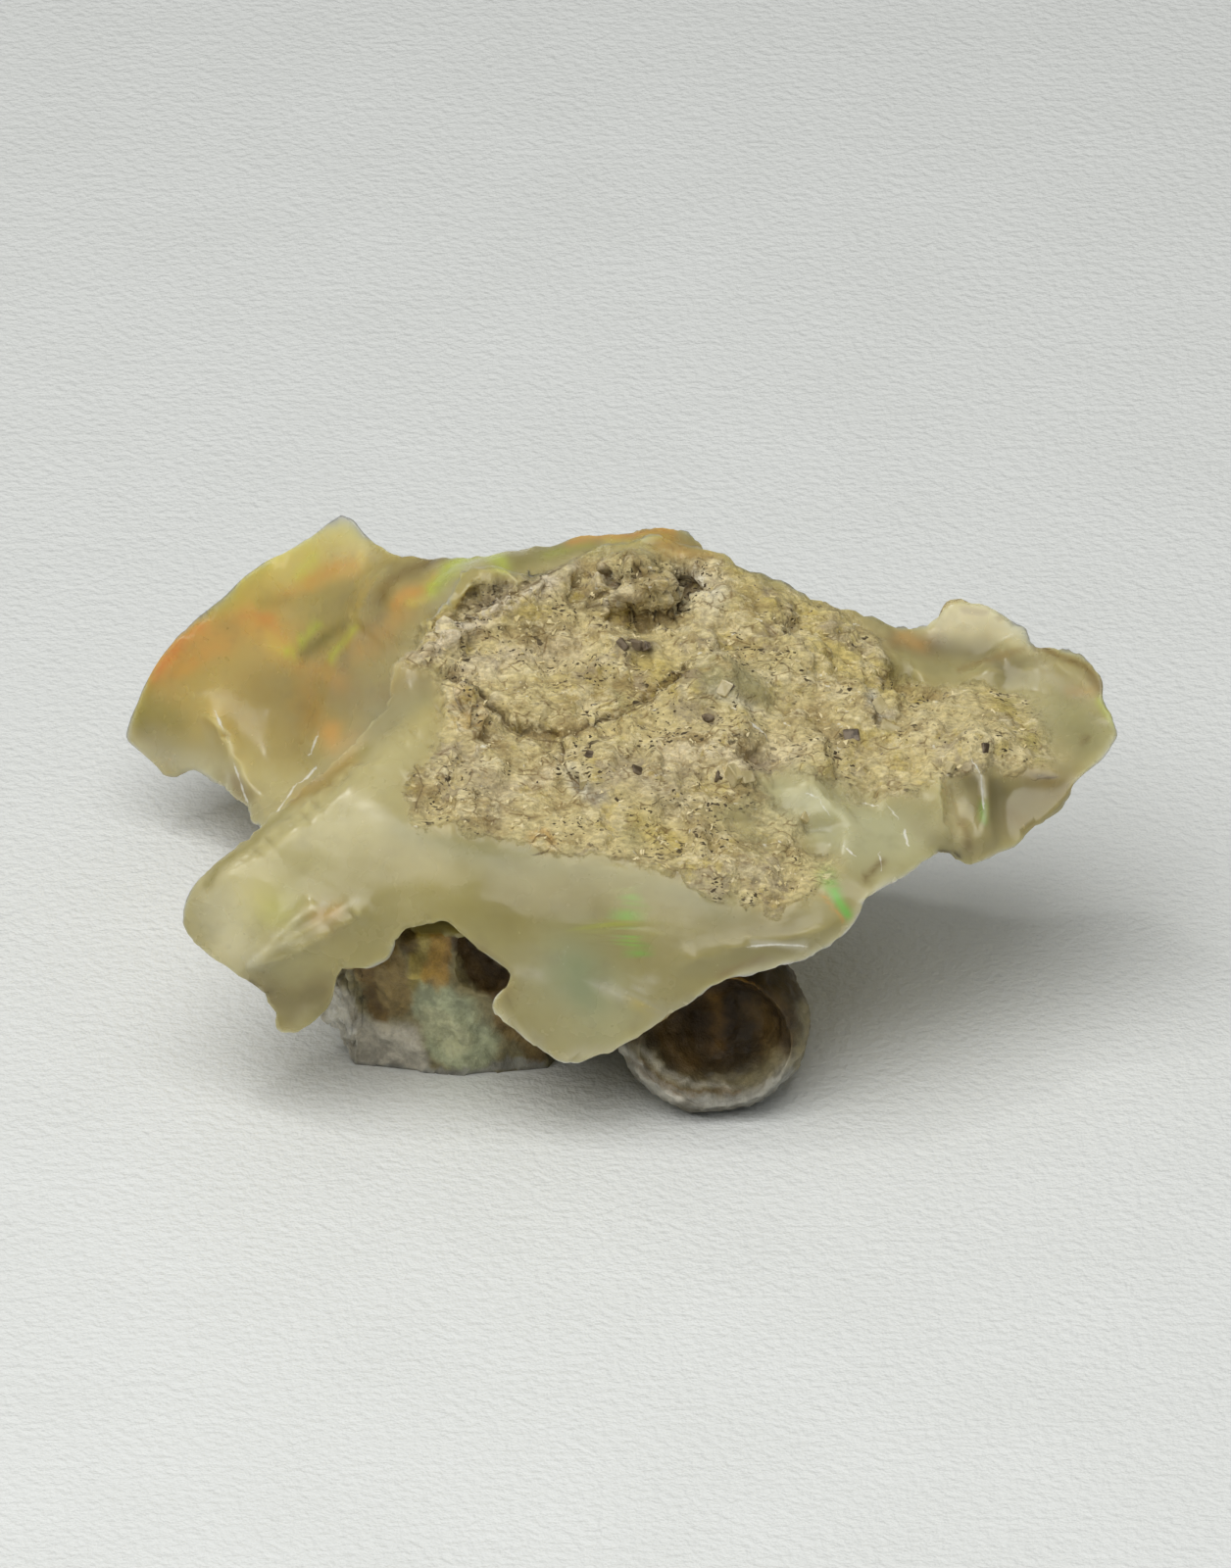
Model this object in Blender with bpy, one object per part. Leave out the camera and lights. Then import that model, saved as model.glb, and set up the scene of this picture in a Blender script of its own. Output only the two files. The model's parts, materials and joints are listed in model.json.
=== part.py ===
"""A rough piece of Ethiopian opal that still carries a crust of its host rock.

The stone is one solid. It is drawn on a leaning sheet, as it is seen from the front and 30 degrees above: each mark
gives how far across and up the sheet a point lies, and how far back it really is, in millimetres. Two skins are
stretched over the marks, the near one and the far one, and they meet along the rim.
"""
import math

import bmesh
import bpy
import numpy as np
from mathutils import Vector, noise
from mathutils.geometry import delaunay_2d_cdt

MM = 0.001
SHEET_TILT = math.radians(30)
RISE = math.cos(SHEET_TILT)
LEAN = math.sin(SHEET_TILT)

# Fineness of the making, in millimetres, and the faces that the finished stone keeps
RIM_STEP = 0.4
SKIN_STEP = 0.38
RIM_CLEARANCE = 0.24
BALL_DIVISIONS = 4
FACES_KEPT = 8000

# Least thickness of a wall, how far from the rim it is reached, and how round it grows
WALL = 1.5
WALL_REACH = 1.2
WALL_ROUNDING = 0.6
# How far from the rim ridges and lumps reach their full height, and furrows and pits their full depth
RISE_REACH = 0.7
PIT_REACH = 1.6
# The small chips along the rim
CHIP_LENGTH = 0.9
CHIP_DEPTH = 0.16
# The chips' seed: without one, Blender would draw them from the clock
CHIP_SEED = 1796020056
# A short step for measuring how a skin slopes, and a length too short to matter
NUDGE = 0.01
TINY = 1e-9
# Corners nearer to each other than this along the worn feet become one
FOOT_WELD = 0.04

# The main body: a slab with a lobe at the left, an arch under it and a pointed right end
SLAB_RIM = [
    # the lobe's tip, and its ridge up to the corner of the crust
    (-14.1, 6.1, 1.6), (-13.6, 7.3, 1.8), (-12.2, 8.5, 2.4), (-10.6, 9.9, 3.6), (-8.7, 11.6, 5.3),
    (-7.6, 12.9, 6.9), (-7.3, 14.1, 8.0),
    # the left and back edge of the crust
    (-6.3, 15.4, 9.8), (-5.4, 16.9, 11.6), (-4.5, 17.5, 12.3), (-2.6, 17.4, 12.5), (-1.1, 18.0, 13.4),
    (0.8, 18.4, 13.8), (2.6, 18.1, 13.6), (4.5, 17.3, 13.2), (6.5, 16.4, 13.0), (9.6, 15.5, 13.0),
    # the fin at the right
    (10.5, 16.1, 13.2), (11.6, 16.3, 13.3), (13.1, 15.5, 12.6), (13.4, 14.9, 12.0), (14.4, 14.8, 11.0),
    (15.4, 14.1, 9.4), (15.6, 13.2, 8.4),
    # the right end, and its lower edge
    (16.0, 12.0, 7.0), (15.1, 11.0, 5.8), (14.3, 10.0, 5.0), (13.0, 8.8, 4.2), (11.9, 8.0, 3.6),
    (10.9, 7.9, 3.0), (10.2, 8.2, 2.4), (8.9, 7.4, 1.2),
    # the lip along the front
    (7.9, 6.9, 0.4), (7.6, 6.2, 0.0), (7.1, 5.5, -0.5), (5.5, 4.7, -1.0), (3.4, 4.2, -1.4), (2.3, 3.5, -1.7),
    (0.8, 2.5, -1.9), (-0.6, 1.8, -2.0), (-2.0, 1.5, -2.0), (-2.8, 2.1, -1.8), (-4.0, 3.0, -1.5),
    (-4.1, 3.6, -1.4), (-3.6, 4.4, -1.2),
    # the arch
    (-4.6, 5.1, -1.0), (-5.6, 6.0, -0.7), (-7.0, 5.8, -0.6), (-7.4, 5.0, -0.7), (-8.2, 4.5, -0.8),
    (-9.0, 4.5, -0.8),
    # the tongue under the lobe
    (-9.3, 3.4, -0.9), (-10.0, 2.7, -0.9), (-10.9, 2.4, -0.8), (-11.4, 3.6, -0.3), (-12.5, 4.4, 0.4),
    (-13.5, 5.1, 1.2),
]
SLAB_NEAR = [
    # the bevel below the lobe's ridge
    (-12.5, 7.7, 1.5), (-10.6, 9.0, 2.2), (-9.0, 10.1, 3.2), (-7.4, 11.2, 4.3), (-6.2, 12.4, 5.6),
    # the lobe's face
    (-12.2, 6.3, 0.7), (-10.4, 5.4, -0.2), (-10.2, 7.6, 1.1), (-8.2, 7.2, 0.3), (-7.6, 9.3, 1.8),
    # the front face, up to the foot of the crust
    (-5.4, 7.4, -0.1), (-4.2, 8.6, 1.1), (-2.5, 5.5, -1.1), (-1.8, 8.3, 0.9), (0.4, 5.5, -1.1),
    (1.0, 8.0, 0.6), (3.4, 6.7, -0.3), (5.8, 6.4, -0.3),
    # the top of the crust
    (-5.2, 10.6, 3.2), (-2.6, 11.0, 4.0), (0.2, 11.0, 4.0), (3.6, 10.4, 3.6), (-4.8, 14.0, 8.2),
    (-1.4, 14.2, 8.6), (1.8, 13.8, 8.0), (-1.6, 16.4, 11.4), (2.0, 16.4, 11.2), (5.2, 14.8, 9.8),
    (5.2, 12.2, 6.4),
    # the window of clearer opal, and the ground up to the fin
    (6.6, 8.6, 2.2), (9.2, 9.2, 3.2), (8.4, 11.6, 6.2), (8.6, 13.8, 9.6), (10.6, 13.5, 9.9),
    (12.0, 13.6, 10.2), (13.6, 13.4, 9.6), (11.2, 11.4, 6.0), (13.1, 10.9, 5.8), (14.2, 12.2, 7.8),
    (11.2, 9.6, 4.4),
]
SLAB_FAR = [
    # under the lobe and behind it
    (-12.4, 6.2, 3.6), (-10.6, 4.6, 2.0), (-10.4, 7.4, 5.6), (-8.4, 6.6, 6.4), (-8.4, 9.4, 9.4),
    (-7.0, 11.6, 11.8),
    # the belly, which comes down to the heel
    (-5.6, 6.9, 7.6), (-3.4, 4.3, 2.6), (-4.6, 7.7, 14.6), (-4.4, 11.6, 17.0), (-4.6, 14.8, 15.6),
    (-1.0, 3.8, 3.0), (-0.4, 5.9, 8.6), (0.4, 7.8, 15.0), (0.0, 11.8, 17.2), (0.4, 15.4, 16.4),
    (4.0, 5.9, 4.0), (4.2, 8.4, 10.4), (4.6, 11.8, 15.2), (4.6, 14.8, 15.4),
    # the thinner right end
    (8.0, 8.6, 5.6), (8.2, 11.0, 10.4), (8.4, 13.6, 13.6), (11.4, 9.6, 6.6), (12.0, 12.0, 10.4),
    (12.0, 14.4, 13.2), (14.2, 12.2, 9.4),
]

# Relief of the slab's near side. A line has its rise (a furrow where negative), its width and its marks
SLAB_LINES = [
    # the pale ledge across the back of the crust, and the furrow behind it
    (0.8, 0.5, [(-7.2, 14.2), (-5.8, 15.1), (-3.9, 16.2), (-2.3, 17.1), (-1.6, 17.6)]),
    (-1.1, 0.28, [(-6.1, 15.4), (-4.9, 16.1), (-3.6, 16.8), (-2.7, 17.2)]),
    # the foot of the broken lump
    (-1.3, 0.25, [(-1.2, 17.2), (-1.2, 16.3), (0.2, 16.1), (1.0, 15.8), (1.9, 16.2), (2.3, 17.2)]),
    # the crack through the middle of the crust
    (-0.5, 0.16, [(-5.9, 14.1), (-4.7, 13.6), (-4.1, 12.8), (-3.6, 12.3), (-1.9, 12.0), (-1.1, 12.3), (0.8, 12.9),
                  (2.0, 14.2)]),
    # the fold between the crust and the fin, and the fold in the fin
    (-0.7, 0.3, [(8.6, 13.9), (10.3, 13.6), (13.5, 13.5), (15.3, 13.4)]),
    (0.45, 0.5, [(11.3, 13.7), (12.2, 14.2), (13.3, 15.0)]),
    # the ridges of the right end
    (0.35, 0.4, [(11.2, 11.6), (11.6, 10.4), (11.8, 9.4), (11.8, 8.4)]),
    (0.4, 0.4, [(11.2, 11.6), (13.0, 10.8), (14.4, 10.6)]),
    (0.35, 0.4, [(11.2, 11.6), (10.3, 10.4), (10.2, 9.2), (10.7, 8.4)]),
    # the bevel along the lobe's ridge, and the ribs of the lobe's fracture
    (0.35, 0.7, [(-13.6, 6.8), (-12.5, 7.7), (-10.6, 9.0), (-9.0, 10.1), (-7.4, 11.2), (-6.2, 12.4)]),
    (0.3, 0.22, [(-11.4, 5.2), (-10.6, 6.0), (-9.9, 6.5)]),
    (0.3, 0.22, [(-12.2, 4.6), (-10.6, 5.2), (-8.4, 6.4)]),
    # the break above the lip
    (0.35, 0.35, [(2.1, 4.9), (4.3, 5.4), (5.7, 5.5), (7.0, 5.9)]),
]
# A lump has its rise (a pit where negative), its half width and half height, and its middle
SLAB_LUMPS = [
    # the broken lump at the back of the crust, and the holes in it
    (0.9, 1.8, 0.9, (0.5, 16.8)), (-0.6, 0.4, 0.3, (-0.4, 17.0)), (-0.6, 0.35, 0.3, (1.6, 17.1)),
    (0.35, 0.5, 0.4, (0.3, 16.6)), (0.35, 0.5, 0.4, (1.2, 16.6)),
    # the lumps behind the furrow
    (0.8, 1.5, 0.55, (-4.3, 17.0)),
    # the amber lumps at the left corner
    (0.7, 0.7, 0.6, (-5.2, 13.2)), (0.5, 0.5, 0.4, (-4.7, 12.5)),
    # the smooth hump in the middle, and the crystal behind it
    (0.9, 1.4, 0.8, (2.7, 13.6)), (0.5, 0.6, 0.3, (0.3, 14.9)),
    # the pit at the foot of the fin, and the hollows of the fin
    (-1.0, 0.5, 0.4, (9.1, 14.0)), (-0.4, 1.4, 1.0, (11.0, 15.0)), (-0.4, 1.1, 0.6, (14.2, 14.1)),
    # the scoops of the right end
    (-0.45, 0.6, 1.1, (10.9, 9.8)), (-0.45, 1.0, 1.0, (12.8, 9.8)),
]

# The wing: a scooped plate that rises behind the slab and reaches back to the left
WING_RIM = [
    # up the left side to the peak
    (-16.0, 12.1, 18.0), (-15.4, 13.7, 18.6), (-13.9, 15.6, 19.2), (-11.8, 17.4, 19.6), (-10.6, 18.3, 19.7),
    (-9.1, 19.3, 19.4),
    # down into the notch and along the back
    (-8.1, 18.3, 18.2), (-7.2, 17.9, 16.8), (-5.4, 17.8, 15.6), (-3.0, 18.2, 15.2), (-0.6, 18.6, 15.2),
    (1.3, 18.8, 15.2), (2.6, 18.1, 14.8),
    # the side that is buried in the slab
    (3.4, 15.6, 13.6), (1.0, 11.6, 12.0), (-4.0, 9.4, 10.6), (-8.6, 8.2, 9.0), (-10.6, 8.3, 10.4),
    # the lower edge
    (-11.8, 8.9, 13.4), (-12.5, 9.9, 15.0), (-13.3, 10.5, 16.2), (-14.2, 10.9, 17.2), (-14.8, 10.8, 17.5),
    (-15.7, 11.4, 17.8),
]
WING_NEAR = [
    (-14.3, 13.0, 18.2), (-12.9, 14.6, 18.5), (-11.2, 14.2, 17.9), (-10.2, 16.8, 18.9), (-13.2, 11.6, 17.2),
    (-11.4, 11.4, 16.3), (-9.8, 12.8, 16.4), (-8.2, 14.6, 15.3), (-8.6, 16.6, 17.3), (-6.6, 16.2, 13.8),
    (-9.6, 10.0, 13.2),
    (-8.0, 11.6, 13.0), (-5.2, 17.3, 13.0), (-3.0, 17.2, 12.2), (0.6, 17.9, 13.4), (-3.0, 14.0, 10.0),
]
WING_FAR = [
    (-13.6, 13.4, 20.8), (-11.6, 15.4, 22.0), (-9.2, 16.8, 21.6), (-12.4, 11.6, 19.6), (-9.6, 12.8, 21.0),
    (-9.4, 10.6, 18.6), (-6.2, 15.6, 19.4), (-6.4, 12.0, 20.4), (-5.4, 9.8, 18.4), (-2.4, 14.8, 18.4),
    (-2.6, 12.0, 19.0), (1.0, 15.4, 17.0),
]

WING_LINES = [
    # the sharp edge of the small pale facet at the left, and the soft fold down the scoop
    (0.8, 0.4, [(-13.3, 12.7), (-12.9, 12.0), (-12.5, 11.0), (-12.2, 10.2), (-11.9, 9.0)]),
    (0.5, 0.9, [(-7.4, 16.8), (-9.0, 14.2), (-9.9, 11.7)]),
]
WING_LUMPS = [
    # the swell where the scoop turns towards the crust
    (0.3, 0.8, 1.0, (-7.6, 16.2)),
]

# The outline of the rocky crust on the slab, and how rough it is
CRUST_OUTLINE = [
    (-7.2, 14.2), (-5.9, 14.1), (-5.7, 11.8), (-6.6, 10.4), (-6.4, 9.3), (-2.3, 8.3), (1.5, 7.7), (4.9, 6.2),
    (6.5, 7.3), (8.4, 9.5), (11.1, 11.5), (13.0, 10.8), (14.1, 11.3), (13.2, 13.3), (9.1, 13.7), (8.4, 15.6),
    (4.5, 17.3), (0.8, 18.3), (-4.5, 17.5), (-6.3, 15.4),
]
CRUST_FADE = 0.6
CRUST_ROUGHNESS = 0.6
CRUST_GRAIN = 1.4
# How much each finer layer of the roughness fades, how much finer it is, and how many there are
ROUGHNESS_LAYERS = (0.8, 2.1, 3)

# The rocky block under the arch, as the corners of a lump: across, back, high
BLOCK_CORNERS = [
    (-9.5, 4.0, 0.9), (-9.4, 3.2, 1.6), (-8.6, 2.7, -0.1), (-5.2, 2.0, -0.1), (-2.4, 2.5, -0.1), (-1.6, 4.2, 0.2),
    (-8.0, 6.4, -0.1), (-3.0, 7.4, -0.1), (-9.0, 2.6, 3.2), (-8.2, 2.2, 5.0), (-5.4, 1.6, 5.6), (-2.4, 1.4, 5.0),
    (-8.4, 6.8, 4.6), (-2.6, 7.4, 4.6), (-9.5, 5.2, 2.4),
]
LUMP_DIVISIONS = 3
LUMP_ROUGHNESS = 0.45
LUMP_GRAIN = 1.3
# The round nodule beside it, and the hollow that its broken front shows
NODULE_CENTRE = (2.95, 1.15, 2.5)
NODULE_RADII = (3.15, 3.1, 2.7)
NODULE_NECK = (2.2, 4.6, 4.5)
NODULE_NECK_RADII = (3.2, 4.0, 3.1)
# Each shell of the nodule is broken off a little further in than the one outside it
NODULE_SHELLS = [
    ((3.0, -1.7, 2.9), (2.75, 1.9, 2.3)),
    ((3.1, -1.2, 3.0), (2.45, 2.0, 2.1)),
    ((3.2, -0.7, 3.1), (2.1, 2.1, 1.9)),
]
# The pocket in the rock behind the right side of the arch
POCKET_CENTRE = (-4.4, 0.9, 4.6)
POCKET_RADII = (1.2, 1.5, 1.5)

# Shell-shaped scars where chips came off the far side: the middle and radius of the ball that each one follows
SCARS = [
    ((1.0, 26.8, 6.5), 10.0),
    ((9.5, 24.3, 9.5), 11.0),
    ((-14.0, 29.3, 7.5), 9.0),
    ((8.0, 9.0, -6.0), 10.5),
    ((-13.5, 6.5, -0.5), 5.0),
]

OPAL_COLOUR = (0.66, 0.60, 0.42, 1.0)
OPAL_ROUGHNESS = 0.3
OPAL_IOR = 1.44


def remove_everything():
    """Empties the scene."""
    for thing in list(bpy.data.objects):
        bpy.data.objects.remove(thing)


def in_space(points, depths):
    """The real places, in millimetres, of points on the leaning sheet that lie at these depths."""
    return np.column_stack([points[:, 0], depths, (points[:, 1] - depths * LEAN) / RISE])


def closed_curve(marks, step):
    """A smooth closed line through the marks, with a point about every step."""
    count = len(marks)
    line = []
    for index in range(count):
        before, start, end, after = (np.array(marks[(index + shift) % count]) for shift in (-1, 0, 1, 2))
        pieces = max(1, round(float(np.linalg.norm((end - start)[:2])) / step))
        for piece in range(pieces):
            s = piece / pieces
            bend = (2 * before - 5 * start + 4 * end - after) * s * s
            twist = (-before + 3 * start - 3 * end + after) * s ** 3
            line.append(0.5 * (2 * start + (end - before) * s + bend + twist))
    return np.array(line)


def chipped(rim):
    """The rim with small chips along it."""
    chips = [noise.noise_vector(Vector(mark) / CHIP_LENGTH) for mark in rim]
    return rim + CHIP_DEPTH * np.array(chips) * (1.0, 1.0, 0.0)


def plate_bend(gaps):
    """How a thin plate bends at each distance from a mark."""
    return gaps ** 2 * np.log(np.maximum(gaps, TINY))


def stretched_skin(marks):
    """A smooth depth over the sheet that passes through every mark, as a thin plate does."""
    marks = np.array(marks)
    places = marks[:, :2]
    count = len(marks)
    bend = plate_bend(np.linalg.norm(places[:, None] - places[None], axis=2))
    flat = np.hstack([np.ones((count, 1)), places])
    left_side = np.block([[bend, flat], [flat.T, np.zeros((3, 3))]])
    weights = np.linalg.solve(left_side, np.concatenate([marks[:, 2], np.zeros(3)]))

    def depth(points):
        gaps = np.linalg.norm(points[:, None] - places[None], axis=2)
        return plate_bend(gaps) @ weights[:count] + weights[count] + points @ weights[count + 1:]

    return depth


def inside_outline(points, outline):
    """Which points lie inside the closed outline."""
    inside = np.zeros(len(points), bool)
    x, y = points[:, 0], points[:, 1]
    for (x0, y0), (x1, y1) in zip(outline, np.roll(outline, -1, axis=0)):
        crossed = (y0 > y) != (y1 > y)
        rise = y1 - y0 if y1 != y0 else TINY
        inside ^= crossed & (x < (x1 - x0) * (y - y0) / rise + x0)
    return inside


def distance_to_line(points, line):
    """The distance of each point to the nearest stretch of an open line on the sheet."""
    nearest = np.full(len(points), np.inf)
    for start, end in zip(line[:-1], line[1:]):
        run = end - start
        share = np.clip(((points - start) @ run) / max(float(run @ run), TINY), 0, 1)
        nearest = np.minimum(nearest, np.linalg.norm(points - start - share[:, None] * run, axis=1))
    return nearest


def relief(points, lines, lumps):
    """How far lines and lumps stand out of the near side at each point."""
    rise = np.zeros(len(points))
    for height, width, marks in lines:
        rise += height * np.exp(-distance_to_line(points, np.array(marks)) / width)
    for height, half_width, half_height, middle in lumps:
        away = np.hypot(*((points - np.array(middle)) / (half_width, half_height)).T)
        rise += height * np.exp(-away ** 4)
    return rise


def crust_relief(points):
    """The coarse roughness of the crust at each point."""
    outline = np.array(CRUST_OUTLINE)
    edge = distance_to_line(points, np.vstack([outline, outline[:1]]))
    inside = np.where(inside_outline(points, outline), np.minimum(edge / CRUST_FADE, 1.0), 0.0)
    grain = [noise.fractal(Vector((x, y, 0.0)) / CRUST_GRAIN, *ROUGHNESS_LAYERS) for x, y in points]
    return CRUST_ROUGHNESS * inside * np.array(grain)


def raised(points, skin, heights):
    """The real places of a skin's points, each lifted by its height square to the skin."""
    base = in_space(points, skin(points))
    sides = []
    for shift in ((NUDGE, 0.0), (0.0, NUDGE)):
        moved = points + shift
        sides.append(in_space(moved, skin(moved)) - base)
    square = np.cross(sides[0], sides[1])
    square /= np.linalg.norm(square, axis=1, keepdims=True)
    return base + square * heights[:, None]


def two_skinned(name, rim_marks, near_marks, far_marks, near_relief):
    """A closed body whose near and far skins meet along the rim."""
    rim = chipped(closed_curve(rim_marks, RIM_STEP))
    outline = rim[:, :2]
    low, high = outline.min(axis=0), outline.max(axis=0)
    across, up = np.meshgrid(np.arange(low[0], high[0], SKIN_STEP), np.arange(low[1], high[1], SKIN_STEP))
    field = np.stack([across.ravel(), up.ravel()], axis=1)
    field = field[inside_outline(field, outline)]
    to_rim = distance_to_line(field, np.vstack([outline, outline[:1]]))
    field = field[to_rim > RIM_CLEARANCE]
    to_rim = to_rim[to_rim > RIM_CLEARANCE]
    near_skin = stretched_skin(rim_marks + near_marks)
    heights = near_relief(field)
    heights *= np.minimum(1.0, to_rim / np.where(heights > 0, RISE_REACH, PIT_REACH))
    near = raised(field, near_skin, heights)
    wall = WALL * np.minimum(1.0, to_rim / WALL_REACH) ** WALL_ROUNDING
    far = in_space(field, np.maximum(stretched_skin(rim_marks + far_marks)(field), near_skin(field) + wall))

    count = len(rim)
    flat_points = [Vector(p) for p in np.vstack([outline, field])]
    edges = [(i, (i + 1) % count) for i in range(count)]
    faces = delaunay_2d_cdt(flat_points, edges, [], 1, TINY)[2]

    body = bmesh.new()
    rim_row = [body.verts.new(place) for place in in_space(outline, rim[:, 2])]
    near_row = rim_row + [body.verts.new(place) for place in near]
    far_row = rim_row + [body.verts.new(place) for place in far]
    for a, b, c in faces:
        body.faces.new((near_row[a], near_row[b], near_row[c]))
        if max(a, b, c) >= count:
            body.faces.new((far_row[a], far_row[c], far_row[b]))
    bmesh.ops.recalc_face_normals(body, faces=body.faces)
    return finished(name, body)


def finished(name, body):
    """Turns a bmesh into an object of that name."""
    mesh = bpy.data.meshes.new(name)
    body.to_mesh(mesh)
    body.free()
    thing = bpy.data.objects.new(name, mesh)
    bpy.context.collection.objects.link(thing)
    return thing


def lump_of_corners(name, corners):
    """The tight skin around the corners of a lump, roughened where it is above the ground."""
    body = bmesh.new()
    for corner in corners:
        body.verts.new(corner)
    wrapped = bmesh.ops.convex_hull(body, input=body.verts)
    spare = [part for part in wrapped["geom_interior"] if isinstance(part, bmesh.types.BMVert)]
    bmesh.ops.delete(body, geom=spare, context="VERTS")
    for _ in range(LUMP_DIVISIONS):
        bmesh.ops.subdivide_edges(body, edges=body.edges, cuts=1, use_grid_fill=True)
        bmesh.ops.triangulate(body, faces=body.faces)
    bmesh.ops.recalc_face_normals(body, faces=body.faces)
    body.normal_update()
    rises = [LUMP_ROUGHNESS * noise.fractal(c.co / LUMP_GRAIN, *ROUGHNESS_LAYERS) for c in body.verts]
    for corner, rise in zip(body.verts, rises):
        if corner.co.z > LUMP_ROUGHNESS:
            corner.co += rise * corner.normal
    return finished(name, body)


def ball(name, centre, radii):
    """A ball of three radii."""
    body = bmesh.new()
    bmesh.ops.create_icosphere(body, subdivisions=BALL_DIVISIONS, radius=1.0)
    for corner in body.verts:
        corner.co = Vector(c + r * x for c, r, x in zip(centre, radii, corner.co))
    return finished(name, body)


def apply_modifier(thing, kind, **settings):
    """Adds a modifier with these settings and makes its result the mesh."""
    modifier = thing.modifiers.new(kind.title(), kind)
    for key, value in settings.items():
        setattr(modifier, key, value)
    bpy.context.view_layer.objects.active = thing
    bpy.ops.object.modifier_apply(modifier=modifier.name)


def combine(thing, other, operation):
    """Joins the other body to this one, or cuts it away, and removes it."""
    apply_modifier(thing, "BOOLEAN", object=other, operation=operation, solver="EXACT")
    bpy.data.objects.remove(other)


def slab_relief(points):
    """The relief of the slab's near side."""
    return relief(points, SLAB_LINES, SLAB_LUMPS) + crust_relief(points)


def wing_relief(points):
    """The relief of the wing's near side."""
    return relief(points, WING_LINES, WING_LUMPS)


def build_stone():
    """Joins the parts of the stone in one body."""
    stone = two_skinned("rough_opal", SLAB_RIM, SLAB_NEAR, SLAB_FAR, slab_relief)
    combine(stone, two_skinned("wing", WING_RIM, WING_NEAR, WING_FAR, wing_relief), "UNION")
    combine(stone, lump_of_corners("block", BLOCK_CORNERS), "UNION")
    combine(stone, ball("neck", NODULE_NECK, NODULE_NECK_RADII), "UNION")
    nodule = ball("nodule", NODULE_CENTRE, NODULE_RADII)
    for centre, radii in NODULE_SHELLS:
        combine(nodule, ball("shell", centre, radii), "DIFFERENCE")
    combine(stone, nodule, "UNION")
    combine(stone, ball("pocket", POCKET_CENTRE, POCKET_RADII), "DIFFERENCE")
    for centre, radius in SCARS:
        combine(stone, ball("scar", centre, (radius, radius, radius)), "DIFFERENCE")
    return stone


def thin_out(stone, faces_kept):
    """Keeps about that many three-sided faces."""
    apply_modifier(stone, "TRIANGULATE")
    share = faces_kept / len(stone.data.polygons)
    apply_modifier(stone, "DECIMATE", ratio=share, use_collapse_triangulate=True)


def wear_flat(stone):
    """Wears the feet flat where the stone stands."""
    body = bmesh.new()
    body.from_mesh(stone.data)
    everything = body.verts[:] + body.edges[:] + body.faces[:]
    cut = bmesh.ops.bisect_plane(body, geom=everything, plane_no=(0, 0, 1), clear_inner=True)
    corners = [part for part in cut["geom_cut"] if isinstance(part, bmesh.types.BMVert)]
    bmesh.ops.remove_doubles(body, verts=corners, dist=FOOT_WELD)
    bmesh.ops.holes_fill(body, edges=[edge for edge in body.edges if edge.is_boundary])
    bmesh.ops.triangulate(body, faces=[face for face in body.faces if len(face.verts) > 3])
    body.to_mesh(stone.data)
    body.free()


def settle(stone):
    """Scales the stone to metres over the middle of its own footprint."""
    places = np.array([corner.co for corner in stone.data.vertices])
    middle = (places.min(axis=0) + places.max(axis=0)) / 2
    for corner in stone.data.vertices:
        corner.co = (corner.co - Vector((middle[0], middle[1], 0.0))) * MM


def opal_material():
    """The pale honey body colour of the stone."""
    opal = bpy.data.materials.new("opal")
    opal.use_nodes = True
    shader = opal.node_tree.nodes["Principled BSDF"]
    shader.inputs["Base Color"].default_value = OPAL_COLOUR
    shader.inputs["Roughness"].default_value = OPAL_ROUGHNESS
    shader.inputs["Metallic"].default_value = 0.0
    shader.inputs["IOR"].default_value = OPAL_IOR
    return opal


def main():
    remove_everything()
    noise.seed_set(CHIP_SEED)
    stone = build_stone()
    thin_out(stone, FACES_KEPT)
    wear_flat(stone)
    settle(stone)
    stone.data.materials.append(opal_material())
    stone.data.shade_smooth()


main()
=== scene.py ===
"""The looks of a rough piece of opal with a crust of host rock.

The stone is one piece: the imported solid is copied, made finer and roughened, and its colours are laid on
as soft strokes. A stroke is placed as the stone is seen from the front and 30 degrees above: its marks say
how far across and how far up that leaning sheet they lie, in millimetres.
"""
import json
import math

import bpy
import numpy as np
from mathutils import Matrix, Vector, noise
from mathutils.bvhtree import BVHTree

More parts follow.
